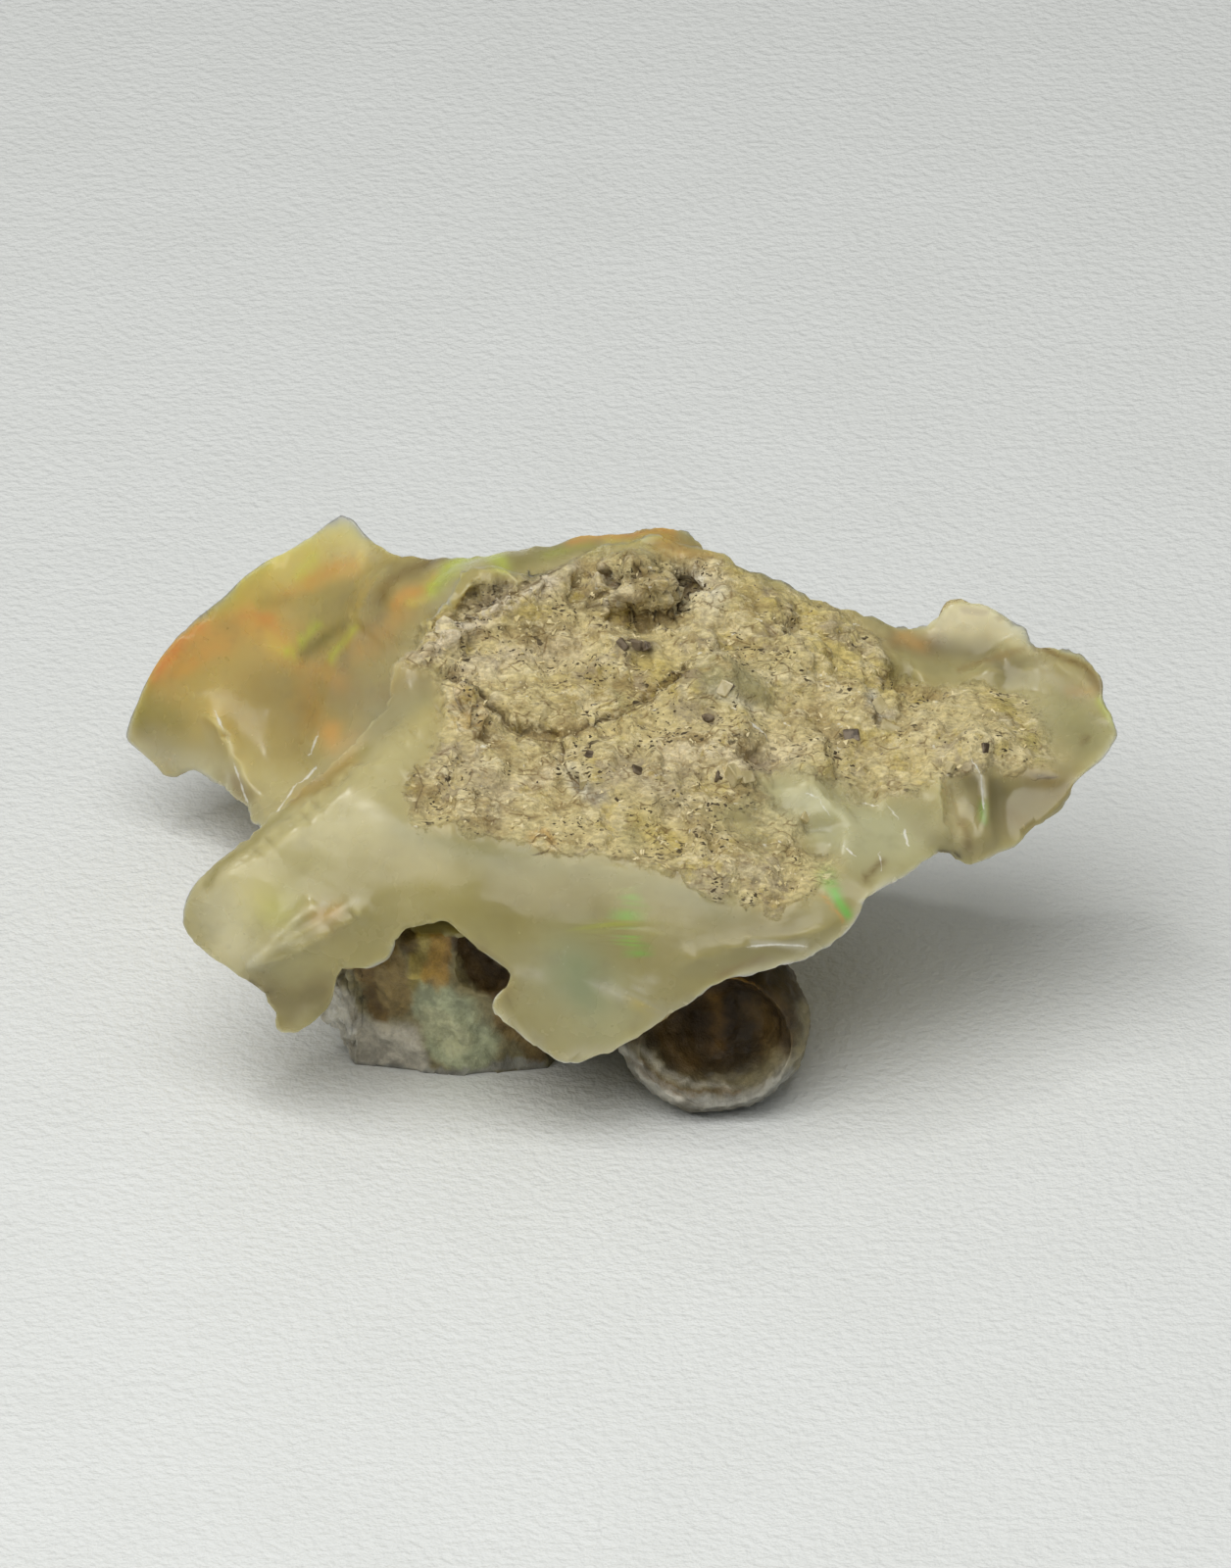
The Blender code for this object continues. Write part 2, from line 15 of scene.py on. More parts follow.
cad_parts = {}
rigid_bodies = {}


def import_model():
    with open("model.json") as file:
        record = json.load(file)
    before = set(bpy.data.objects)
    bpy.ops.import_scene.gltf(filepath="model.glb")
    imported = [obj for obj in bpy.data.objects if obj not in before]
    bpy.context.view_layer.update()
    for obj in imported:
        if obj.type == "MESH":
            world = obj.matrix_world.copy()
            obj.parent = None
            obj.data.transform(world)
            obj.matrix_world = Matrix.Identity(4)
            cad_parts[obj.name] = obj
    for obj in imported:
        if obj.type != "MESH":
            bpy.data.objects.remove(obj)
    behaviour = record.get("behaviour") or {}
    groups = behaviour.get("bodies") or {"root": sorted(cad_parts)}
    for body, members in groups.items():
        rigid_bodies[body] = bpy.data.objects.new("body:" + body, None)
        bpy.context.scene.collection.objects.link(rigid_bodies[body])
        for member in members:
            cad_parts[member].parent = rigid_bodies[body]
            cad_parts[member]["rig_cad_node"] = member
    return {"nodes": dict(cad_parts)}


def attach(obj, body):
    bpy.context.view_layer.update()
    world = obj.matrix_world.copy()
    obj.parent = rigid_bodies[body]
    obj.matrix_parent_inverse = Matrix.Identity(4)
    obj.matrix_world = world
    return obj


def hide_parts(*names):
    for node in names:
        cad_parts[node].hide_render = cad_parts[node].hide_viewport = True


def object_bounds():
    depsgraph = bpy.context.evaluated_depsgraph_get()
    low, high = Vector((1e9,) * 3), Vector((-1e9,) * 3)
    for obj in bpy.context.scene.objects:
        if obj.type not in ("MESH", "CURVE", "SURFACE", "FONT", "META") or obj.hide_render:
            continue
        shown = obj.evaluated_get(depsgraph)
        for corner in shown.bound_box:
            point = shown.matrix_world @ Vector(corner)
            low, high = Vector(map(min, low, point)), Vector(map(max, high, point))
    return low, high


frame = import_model()
cad_low, cad_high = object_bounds()

MM = 0.001
TILT = math.radians(30)
TOWARDS_EYE = np.array([0.0, -math.cos(TILT), math.sin(TILT)])
# How far back on the sheet the foremost point of the front lip lies, in millimetres
FRONT_LIP_BACK = -2.02

# The camera, in millimetres: how high the picture is at the stone, how far away the eye stands, the point
# in the picture's middle, the sensor's width, and from where to where the camera sees
PICTURE_HEIGHT = 50.6
EYE_DISTANCE = 600.0
PICTURE_MIDDLE = (-0.19, 10.44)
SENSOR = 36.0
SEEN_FROM = 10
SEEN_TO = 10000
# Lights: place, the point that they shine at, size, power and colour
SOFT_BOX = ((-50, -100, 230), (0, 0, 5), 260, 0.6, (1.0, 0.995, 0.975))
LAMP = ((-90, 30, 220), (0, 0, 5), 20, 0.035, (1.0, 0.99, 0.96))
# The air's colour, how bright it is near the floor and overhead, and from where on it is brightest
AIR_COLOUR = (0.97, 0.985, 0.97, 1)
AIR_STRENGTH = (0.12, 0.34)
AIR_TOP = 0.9

# How many times the stone's faces are divided, and how near in metres its corners lie to be merged
SUBDIVISIONS = 2
MERGE_GAP = 0.00001

# The curve between how a colour looks and its amounts of light
FULL_SHADE = 255
CURVE_KNEE = 0.04045
CURVE_SLOPE = 12.92
CURVE_LIFT = 0.055
CURVE_POWER = 2.4
# Colours as they look in daylight, red, green and blue out of 255
OPAL_BODY = (170, 160, 110)
CREAM = (202, 194, 146)
PALE_CREAM = (206, 200, 170)
BEIGE = (186, 176, 136)
HONEY = (180, 158, 86)
OLIVE = (146, 136, 66)
DARK_OLIVE = (104, 96, 44)
AMBER = (178, 134, 56)
ORANGE = (212, 162, 88)
FLAME = (236, 160, 96)
LIME = (186, 196, 72)
YELLOW = (216, 196, 106)
PALE_YELLOW = (236, 220, 142)
PALE_TIP = (238, 230, 192)
PALE_HONEY = (198, 176, 108)
MAUVE = (152, 132, 90)
BROWN = (112, 88, 46)
DEEP_BROWN = (52, 36, 10)
UMBER = (92, 72, 38)
MINT = (176, 180, 146)
SEA_GREEN = (132, 150, 110)
GREEN_FLASH = (124, 198, 88)
GREY_GREEN = (160, 158, 122)
PALE_GREEN = (192, 190, 152)
GREY_MAUVE = (152, 140, 102)
SMOKE = (136, 126, 92)
TAN = (204, 188, 136)
TAN_PALE = (222, 208, 164)
TAN_BROWN = (146, 124, 76)
OCHRE = (184, 164, 84)
WHITISH = (226, 222, 204)
GLINT_WHITE = (246, 244, 234)
LEDGE = (226, 212, 182)
ROCK_GREY = (150, 148, 138)
ROCK_PALE = (204, 198, 184)
ROCK_VIOLET = (150, 136, 118)
SPECK = (72, 60, 38)
DARK_MINERAL = (68, 54, 36)
DARK_GREY_MINERAL = (124, 110, 90)
PAPER = (224, 226, 224)
PAPER_PALE = (232, 234, 233)

# The outline of the crust on the near side
CRUST_OUTLINE = [
    (-7.2, 14.2), (-5.9, 14.1), (-5.7, 11.8), (-6.8, 10.6), (-6.6, 9.3), (-2.3, 8.3), (1.5, 7.7),
    (4.9, 6.2), (6.2, 6.9), (8.0, 9.3), (10.9, 10.9), (13.0, 10.8), (14.4, 11.3), (13.8, 13.3),
    (9.1, 13.7), (8.4, 15.4), (4.5, 17.3), (2.5, 17.9), (1.4, 17.8), (0.3, 18.0), (-2.0, 17.4),
    (-3.4, 17.2), (-4.8, 16.8), (-6.0, 16.0), (-6.6, 15.0),
]
CRUST_SOFTNESS = 0.55
# Marks that the crust's colours and its relief both follow
CRACK = [
    (-5.9, 14.0), (-4.7, 13.6), (-4.1, 12.8), (-3.6, 12.3), (-1.9, 12.0), (-1.1, 12.3), (0.8, 13.2),
    (2.0, 14.2),
]
CRACK_BRANCH = [(-2.0, 11.9), (-1.9, 11.0), (-1.4, 10.5)]
PALE_LEDGE = [(-7.0, 14.3), (-5.8, 15.0), (-3.9, 16.1), (-2.3, 17.0), (-1.6, 17.4)]
LEFT_PIT = [(-0.5, 17.2), (-0.3, 16.8)]
RIGHT_PIT = [(1.9, 17.6), (2.2, 16.9)]

# Strokes on the near side: colour, strength, half width, and the marks of the line that it follows
WING_STROKES = [
    # the body of the scoop, its beige foot and its cream peak
    (HONEY, 0.6, 4.0, [(-14.4, 13.4), (-9.4, 17.2), (-9.2, 13.4), (-12.0, 12.4)]),
    (PALE_HONEY, 0.7, 1.2, [(-14.0, 12.6), (-12.8, 13.9), (-11.8, 14.6)]),
    (BEIGE, 0.8, 1.0, [(-15.6, 11.8), (-14.4, 11.2), (-13.2, 10.4), (-12.4, 9.4)]),
    (PALE_CREAM, 0.75, 0.5, [(-15.6, 11.6), (-14.4, 11.1), (-13.5, 10.5)]),
    (PALE_TIP, 0.85, 0.7, [(-9.1, 19.2), (-9.4, 18.4)]),
    (CREAM, 0.5, 0.9, [(-12.0, 10.6), (-10.6, 9.6)]),
    (BEIGE, 0.5, 0.2, [(-8.6, 18.6), (-8.0, 17.9)]),
    # the quiet middle
    (MAUVE, 0.5, 1.2, [(-11.6, 13.6), (-10.6, 12.4)]),
    (MAUVE, 0.65, 0.9, [(-9.2, 13.6), (-8.3, 12.6)]),
    # the play of colour, from the left edge to the fold behind the crust
    (OLIVE, 0.6, 0.3, [(-15.7, 12.4), (-15.0, 14.2), (-13.6, 15.9), (-12.1, 17.2), (-10.4, 18.5)]),
    (ORANGE, 0.4, 0.6, [(-15.0, 13.7), (-14.4, 14.5), (-13.4, 15.4)]),
    (FLAME, 0.85, 0.24, [(-15.1, 13.9), (-14.5, 14.8), (-13.7, 15.6)]),
    (ORANGE, 0.4, 0.2, [(-14.4, 13.9), (-13.8, 14.5), (-13.0, 15.1)]),
    (OLIVE, 0.5, 0.5, [(-15.4, 12.8), (-14.6, 12.5)]),
    (YELLOW, 0.5, 0.9, [(-12.2, 16.6), (-10.9, 17.4)]),
    (PALE_YELLOW, 0.85, 0.65, [(-10.9, 17.5), (-10.2, 17.8), (-9.4, 18.3)]),
    (LIME, 0.35, 0.25, [(-10.5, 17.3), (-10.1, 17.7)]),
    (ORANGE, 0.45, 0.35, [(-11.0, 16.5), (-10.2, 16.9), (-9.6, 17.3), (-8.8, 17.6)]),
    (ORANGE, 0.4, 0.15, [(-10.3, 17.1), (-9.4, 17.5)]),
    (OLIVE, 0.35, 0.2, [(-11.6, 16.3), (-10.6, 16.4), (-9.6, 16.8)]),
    (ORANGE, 0.5, 0.6, [(-12.4, 15.8), (-11.6, 15.6), (-10.9, 15.1)]),
    (FLAME, 0.4, 0.2, [(-12.2, 15.9), (-11.4, 15.8)]),
    (YELLOW, 0.6, 0.3, [(-11.4, 15.1), (-10.6, 14.9)]),
    (LIME, 0.7, 0.16, [(-10.9, 14.9), (-10.3, 15.3), (-9.9, 15.8)]),
    (DARK_OLIVE, 0.65, 0.28, [(-10.4, 14.7), (-9.7, 15.1), (-9.1, 15.7)]),
    (LIME, 0.6, 0.13, [(-9.4, 14.4), (-9.1, 14.9), (-8.75, 15.5)]),
    (MAUVE, 0.5, 0.14, [(-9.0, 14.2), (-8.8, 14.9), (-8.2, 15.7), (-7.4, 16.3)]),
    (BROWN, 0.35, 0.7, [(-8.8, 16.5), (-7.6, 17.0)]),
    (ORANGE, 0.4, 0.5, [(-8.4, 14.9), (-7.6, 15.5), (-7.2, 15.9)]),
    (ORANGE, 0.35, 0.35, [(-10.4, 14.3), (-9.2, 13.9)]),
    (ORANGE, 0.85, 0.34, [(-9.5, 12.1), (-9.2, 11.5), (-8.6, 11.9)]),
    (AMBER, 0.45, 0.5, [(-10.4, 13.4), (-10.1, 12.6)]),
    (BROWN, 0.6, 0.22, [(-7.9, 16.6), (-7.0, 17.3), (-6.2, 17.8), (-4.6, 18.1)]),
    (ORANGE, 0.75, 0.2, [(-7.3, 16.3), (-6.7, 16.8), (-6.1, 17.3)]),
    (YELLOW, 0.6, 0.16, [(-6.9, 16.3), (-6.3, 16.8)]),
    (LIME, 1.0, 0.28, [(-6.3, 16.9), (-5.6, 17.5), (-4.6, 17.9), (-3.9, 17.7)]),
    (OLIVE, 0.7, 0.3, [(-3.4, 17.8), (-1.0, 18.0)]),
    (LIME, 0.4, 0.16, [(-2.6, 17.9), (-1.0, 18.2)]),
    (ORANGE, 0.95, 0.26, [(-1.6, 18.4), (0.0, 18.7), (1.5, 18.7)]),
    (YELLOW, 0.8, 0.2, [(-0.4, 18.35), (1.4, 18.4)]),
    (AMBER, 0.7, 0.4, [(1.5, 18.2), (2.8, 17.8)]),
    # the sharp edge at the left, the brown facet below it, and the pale edges around that
    (BEIGE, 0.7, 0.1, [(-13.3, 12.6), (-12.9, 11.6), (-12.3, 10.2), (-11.9, 9.2)]),
    (MAUVE, 0.8, 0.3, [(-12.7, 10.5), (-12.4, 10.0)]),
    (PALE_CREAM, 0.6, 0.1, [(-12.9, 10.7), (-12.9, 9.9), (-12.4, 9.6)]),
]
SLAB_STROKES = [
    # the lobe
    (CREAM, 0.65, 1.8, [(-12.4, 7.2), (-9.4, 8.6), (-7.4, 11.0)]),
    (PALE_CREAM, 0.6, 1.0, [(-13.0, 6.8), (-12.3, 5.2)]),
    (BEIGE, 0.55, 0.35, [(-13.4, 7.4), (-11.4, 9.2), (-9.6, 10.9), (-7.9, 12.4)]),
    (OLIVE, 0.5, 0.13, [(-13.5, 7.3), (-12.6, 8.0), (-11.2, 9.2), (-9.6, 10.4), (-8.2, 11.6)]),
    (AMBER, 0.35, 0.25, [(-10.4, 9.9), (-8.6, 11.3)]),
    (LIME, 0.22, 0.7, [(-11.1, 6.4)]),
    (ORANGE, 0.16, 0.6, [(-9.6, 6.2)]),
    (GREY_GREEN, 0.6, 0.5, [(-8.0, 12.4), (-6.6, 13.3)]),
    (GREY_MAUVE, 0.75, 0.45, [(-8.0, 12.2), (-7.0, 13.2), (-6.2, 13.7)]),
    (MAUVE, 0.6, 0.4, [(-7.9, 13.2), (-6.7, 14.0)]),
    # the tongue under the lobe
    (BROWN, 0.4, 0.5, [(-11.7, 3.9), (-10.6, 3.2), (-9.6, 3.7)]),
    (BEIGE, 0.6, 0.25, [(-10.9, 2.5), (-10.2, 3.0)]),
    (DEEP_BROWN, 0.8, 0.12, [(-11.9, 4.0), (-11.4, 3.7)]),
    # the front face: dim in its upper middle, greener below, greyer to the right
    (OLIVE, 0.55, 1.2, [(-4.2, 7.0), (-1.2, 6.7)]),
    (BROWN, 0.22, 1.0, [(-3.6, 7.0), (-1.6, 6.7)]),
    (OPAL_BODY, 0.5, 0.9, [(-6.0, 8.6), (-6.4, 10.4)]),
    (MINT, 0.7, 1.2, [(-1.6, 4.6), (-0.8, 3.2)]),
    (SEA_GREEN, 0.5, 0.6, [(-1.3, 4.4), (-0.9, 3.4)]),
    (CREAM, 0.4, 0.6, [(1.2, 5.9), (2.4, 5.8)]),
    (GREY_MAUVE, 0.4, 1.0, [(2.4, 6.2), (5.4, 6.0)]),
    (CREAM, 0.4, 0.8, [(-1.6, 2.5), (-0.4, 2.8)]),
    (GREEN_FLASH, 0.6, 0.13, [(0.3, 6.8), (0.7, 6.5), (0.0, 6.2), (0.7, 6.1)]),
    (GREEN_FLASH, 0.65, 0.12, [(0.2, 5.9), (0.3, 5.5), (0.6, 5.1)]),
    (LIME, 0.2, 0.4, [(0.4, 6.6), (0.5, 5.6)]),
    (LIME, 0.5, 0.1, [(-1.7, 5.6), (-0.8, 5.8), (0.1, 6.0), (0.6, 6.4)]),
    (YELLOW, 0.6, 0.2, [(0.6, 3.5), (1.0, 3.4)]),
    (WHITISH, 0.5, 0.14, [(-0.7, 3.9), (0.2, 3.7), (0.9, 4.1)]),
    # a painted glint along the ridge above the lip
    (GLINT_WHITE, 0.4, 0.12, [(4.2, 5.3), (5.0, 5.25), (5.9, 5.25)]),
    # painted sheen along the ribs of the lobe
    (WHITISH, 0.3, 0.12, [(-11.1, 5.4), (-10.4, 6.2), (-9.6, 6.8)]),
    (WHITISH, 0.28, 0.14, [(-11.9, 4.7), (-10.3, 5.5), (-8.5, 6.6)]),
    (ORANGE, 0.25, 0.3, [(-9.9, 6.1), (-9.2, 6.3)]),
    (WHITISH, 0.35, 0.2, [(-3.4, 4.4), (-2.4, 4.2)]),
    (MAUVE, 0.7, 0.14, [(3.1, 4.5), (4.6, 4.7)]),
    (GREY_GREEN, 0.5, 0.6, [(-6.8, 9.1), (-4.6, 8.3), (-2.3, 8.0), (-0.4, 7.9), (1.6, 7.5), (3.4, 6.6)]),
    # the thin lip along the lower edge, painted pale where light comes through it
    (PALE_CREAM, 0.7, 0.22, [(8.9, 7.4), (7.7, 6.4), (7.1, 5.5), (5.5, 4.7), (3.4, 4.2), (2.3, 3.5),
                             (0.8, 2.5), (-0.6, 1.8), (-2.0, 1.5), (-2.8, 2.1), (-4.0, 3.0)]),
    (BROWN, 0.5, 0.16, [(-3.8, 3.6), (-3.9, 4.5), (-4.6, 5.2)]),
    # the window of clearer opal with its green flash, and the streaks in it
    (GREY_GREEN, 0.6, 1.3, [(4.6, 10.4), (6.6, 9.6), (9.6, 8.8)]),
    (PALE_GREEN, 0.9, 1.0, [(5.6, 9.9), (7.4, 8.8), (8.8, 8.6)]),
    (GREY_MAUVE, 0.4, 0.4, [(9.4, 9.2), (9.9, 8.7)]),
    (GREEN_FLASH, 1.0, 0.22, [(6.4, 7.5), (6.9, 6.9), (7.2, 6.3)]),
    (ORANGE, 0.8, 0.07, [(6.4, 6.9), (7.0, 6.0)]),
    (BROWN, 0.7, 0.13, [(7.9, 7.4), (8.4, 7.8)]),
    # the orange and olive band behind the crust's right side
    (BROWN, 0.7, 0.4, [(6.6, 16.0), (8.6, 15.2), (10.2, 15.1)]),
    (ORANGE, 0.6, 0.3, [(9.2, 15.3), (9.9, 15.0)]),
    # the fin
    (PALE_TIP, 0.8, 0.6, [(10.3, 16.0), (11.8, 15.9), (13.2, 15.2)]),
    (SMOKE, 0.7, 0.35, [(10.2, 14.9), (11.6, 14.6), (12.8, 14.1)]),
    (TAN_BROWN, 0.6, 0.12, [(10.9, 14.1), (12.0, 14.3), (12.9, 14.8)]),
    (GREY_MAUVE, 0.4, 0.4, [(13.4, 14.4), (14.9, 13.8)]),
    (PALE_CREAM, 0.7, 0.4, [(13.9, 14.0), (15.2, 13.5)]),
    (ORANGE, 0.25, 0.22, [(14.7, 13.5), (15.4, 13.5)]),
    (BROWN, 0.75, 0.13, [(13.2, 15.3), (13.4, 14.9), (14.2, 14.8), (15.2, 14.3), (15.6, 13.5)]),
    (ROCK_VIOLET, 0.6, 0.16, [(11.1, 16.2), (11.8, 16.0)]),
    (BROWN, 0.6, 0.16, [(12.3, 15.8)]),
    (LIME, 0.7, 0.14, [(15.6, 13.2), (15.9, 12.4)]),
    # the right end
    (GREY_GREEN, 0.7, 0.9, [(13.2, 12.9), (15.4, 12.0)]),
    (GREY_MAUVE, 0.8, 0.9, [(11.4, 10.8), (12.4, 9.4), (13.8, 10.6)]),
    (BEIGE, 0.8, 0.5, [(10.3, 11.0), (10.8, 9.8), (10.6, 9.2)]),
    (TAN_BROWN, 0.6, 0.6, [(13.2, 11.0), (14.0, 10.4)]),
    (OLIVE, 0.3, 0.6, [(14.6, 12.4), (14.9, 12.1)]),
    (BEIGE, 0.6, 0.4, [(10.8, 8.6), (12.0, 8.3)]),
    (BROWN, 0.6, 0.22, [(10.9, 9.3), (11.1, 8.7)]),
    (DEEP_BROWN, 0.8, 0.12, [(10.2, 8.2), (10.8, 8.2)]),
    # painted glints along the glassy ridge of the right end
    (WHITISH, 0.8, 0.08, [(11.3, 11.3), (11.7, 10.6), (11.7, 10.0)]),
    (GREEN_FLASH, 0.4, 0.12, [(11.7, 9.7), (11.8, 9.3)]),
    (TAN_BROWN, 0.5, 0.25, [(12.6, 9.4), (13.3, 9.1)]),
    (BROWN, 0.8, 0.14, [(14.8, 12.0)]),
    (SPECK, 0.8, 0.06, [(13.4, 10.6), (14.0, 10.6)]),
]
CRUST_STROKES = [
    # the pale ledge, painted shade in brown and violet in the furrow behind it, and the lumps at the back
    (UMBER, 0.6, 0.3, [(-5.6, 15.6), (-4.2, 16.4), (-2.9, 17.1), (-2.0, 17.5)]),
    (ROCK_VIOLET, 0.7, 0.3, [(-5.0, 16.4), (-3.8, 17.1)]),
    (OCHRE, 0.6, 0.4, [(-6.3, 15.6), (-5.5, 16.4)]),
    (LEDGE, 0.95, 0.26, PALE_LEDGE),
    (TAN_BROWN, 0.3, 0.6, [(-0.8, 16.9), (0.6, 16.9), (1.8, 17.3)]),
    (TAN, 0.5, 0.5, [(0.1, 17.2), (1.1, 17.2)]),
    (LEDGE, 0.7, 0.45, [(2.7, 17.2), (3.3, 16.4)]),
    (OCHRE, 0.6, 0.6, [(3.6, 16.2), (4.6, 15.4)]),
    (TAN_BROWN, 0.5, 0.5, [(-1.2, 13.8), (-0.3, 13.3)]),
    (OCHRE, 0.5, 0.6, [(-1.6, 13.4), (-0.2, 13.0)]),
    (GREY_GREEN, 0.5, 0.3, [(-0.2, 13.6), (-0.1, 12.9)]),
    (MAUVE, 0.6, 0.35, [(6.6, 12.3), (7.5, 11.7)]),
    (TAN_BROWN, 0.6, 0.3, [(5.4, 12.6), (6.4, 12.9)]),
    (LEDGE, 0.5, 0.4, [(-5.2, 14.0), (-3.2, 14.6), (-1.4, 14.9)]),
    (LEDGE, 0.55, 0.5, [(1.6, 11.3), (3.4, 11.5), (5.6, 11.4)]),
    (TAN_PALE, 0.8, 0.9, [(5.8, 15.6), (7.4, 15.2)]),
    (PALE_YELLOW, 0.4, 0.7, [(6.0, 15.6), (7.4, 15.4)]),
    (TAN_BROWN, 0.5, 0.5, [(-2.8, 15.6), (-1.8, 15.3)]),
    (LEDGE, 0.5, 0.3, [(-3.6, 10.4), (-2.2, 10.9)]),
    (TAN_BROWN, 0.5, 0.4, [(-5.2, 9.6), (-4.2, 9.0)]),
    (TAN_BROWN, 0.6, 0.3, [(2.4, 10.2), (3.2, 9.8)]),
    (TAN_BROWN, 0.5, 0.25, [(1.4, 11.6), (2.4, 11.9)]),
    # painted shade in the two pits of the broken lump, and painted shadow along the lump's foot
    (SPECK, 0.85, 0.18, LEFT_PIT),
    (SPECK, 0.6, 0.2, RIGHT_PIT),
    (SPECK, 0.55, 0.2, [(-1.3, 16.3), (-0.6, 16.3)]),
    (SPECK, 0.85, 0.18, [(0.3, 15.9), (1.3, 15.8), (2.1, 16.3)]),
    (WHITISH, 0.6, 0.5, [(2.6, 17.0), (3.3, 16.5)]),
    (TAN_PALE, 0.5, 0.5, [(2.9, 15.8), (5.0, 15.8)]),
    (OCHRE, 0.45, 0.9, [(4.0, 16.6), (6.6, 15.6)]),
    # the greener ground to the right, with the dark pit at the foot of the fin
    (OCHRE, 0.6, 0.8, [(6.8, 14.8), (9.0, 13.9)]),
    (DARK_OLIVE, 0.9, 0.3, [(8.6, 14.5), (9.4, 14.0)]),
    (DARK_OLIVE, 0.6, 0.18, [(9.4, 13.8), (11.6, 13.7)]),
    (WHITISH, 0.75, 0.3, [(8.1, 13.1), (8.5, 12.7)]),
    (OCHRE, 0.6, 0.35, [(12.2, 13.0), (13.4, 12.1)]),
    (OLIVE, 0.5, 0.3, [(12.5, 13.0)]),
    (OLIVE, 0.6, 0.3, [(13.2, 12.0), (13.6, 11.4)]),
    (TAN_PALE, 0.5, 0.4, [(9.6, 12.3), (11.6, 11.9), (12.8, 11.2)]),
    # the hump in the middle
    (OCHRE, 0.65, 0.6, [(0.6, 14.2), (2.2, 13.6)]),
    (GREY_GREEN, 0.7, 0.45, [(2.8, 14.0), (4.5, 13.6)]),
    (WHITISH, 0.6, 0.22, [(3.0, 13.5), (4.2, 12.9)]),
    (SPECK, 0.8, 0.22, [(0.2, 15.0), (0.9, 14.8)]),
    # the amber lumps at the left corner, and the stains below them
    (AMBER, 0.55, 0.4, [(-5.3, 13.3), (-4.7, 12.5)]),
    (BROWN, 0.6, 0.3, [(-4.4, 12.0), (-3.8, 11.6)]),
    (BROWN, 0.7, 0.22, [(-6.6, 10.9), (-6.3, 10.4), (-6.5, 9.9)]),
    (ROCK_VIOLET, 0.5, 0.6, [(-4.9, 11.0), (-4.0, 9.8)]),
    (ROCK_VIOLET, 0.55, 0.5, [(0.2, 10.9), (1.8, 10.1)]),
    (WHITISH, 0.6, 0.3, [(-1.5, 10.7), (-0.9, 10.2)]),
    (OCHRE, 0.75, 0.3, [(0.4, 9.2), (1.7, 8.5)]),
    (TAN_BROWN, 0.6, 0.5, [(2.6, 9.0), (3.8, 8.2)]),
    (TAN_BROWN, 0.7, 0.4, [(4.0, 11.6), (4.8, 11.0)]),
    # the ring, and the brown spots along the crust's foot
    (AMBER, 0.7, 0.12, [(-2.9, 8.5), (-2.7, 8.8), (-2.4, 8.8), (-2.2, 8.5), (-2.4, 8.2), (-2.7, 8.2),
                        (-2.9, 8.5)]),
    (BROWN, 0.8, 0.12, [(-0.2, 8.1), (0.6, 8.0)]),
    (BROWN, 0.8, 0.16, [(1.6, 7.8), (1.9, 7.5)]),
    (SPECK, 0.9, 0.12, [(3.1, 6.9), (3.4, 6.8)]),
    # the crack
    (SPECK, 0.75, 0.07, CRACK),
    (SPECK, 0.7, 0.06, CRACK_BRANCH),
]
# Where the crust thins out to clearer opal: strength, half width and marks
CLEARINGS = [
    (0.95, 0.9, [(5.2, 10.3), (6.4, 9.9), (8.4, 9.2), (9.6, 8.8)]),
    (0.9, 0.8, [(6.6, 8.6), (8.2, 8.0)]),
    (0.6, 0.6, [(3.6, 9.4), (4.4, 8.8)]),
    (0.5, 0.8, [(2.9, 13.9), (4.4, 13.5)]),
    (0.75, 1.0, [(14.0, 12.9), (15.0, 12.0)]),
    (0.6, 0.5, [(0.4, 8.8)]),
]
BLOCK_STROKES = [
    (SMOKE, 0.9, 9.0, [(-6.0, 3.0)]),
    (ROCK_PALE, 0.75, 1.0, [(-9.4, 3.0), (-8.2, 1.8), (-7.2, 1.6)]),
    # a painted glint on the block's left corner
    (GLINT_WHITE, 0.45, 0.35, [(-9.3, 3.4), (-8.9, 2.4)]),
    (TAN_BROWN, 0.9, 0.75, [(-7.9, 4.8), (-7.3, 3.6)]),
    (BROWN, 0.8, 0.22, [(-8.2, 4.6), (-8.0, 3.6), (-7.7, 3.0)]),
    (OCHRE, 0.7, 0.6, [(-6.5, 5.6), (-6.2, 4.2)]),
    (MINT, 1.0, 0.9, [(-5.8, 3.2), (-5.4, 2.2), (-4.8, 1.9)]),
    (PALE_GREEN, 0.7, 0.55, [(-6.0, 2.8), (-5.2, 2.1)]),
    (AMBER, 0.65, 0.4, [(-5.9, 6.4), (-5.9, 4.2)]),
    (BROWN, 0.85, 0.55, [(-3.7, 2.9), (-2.8, 1.8)]),
    (TAN_BROWN, 0.7, 0.2, [(-3.6, 2.2), (-3.0, 1.8)]),
    # painted shade in the deep notch under the slab
    (UMBER, 1.0, 0.6, [(-5.0, 5.5), (-4.4, 4.4), (-3.9, 3.8)]),
    (DEEP_BROWN, 0.7, 0.25, [(-4.7, 5.3), (-4.0, 4.3)]),
    (UMBER, 0.8, 0.3, [(-7.0, 5.8), (-6.9, 5.2)]),
    # a painted shadow line along the block's foot
    (ROCK_GREY, 0.9, 0.2, [(-8.6, 1.35), (-7.0, 1.1), (-5.0, 1.05), (-2.4, 1.35)]),
]
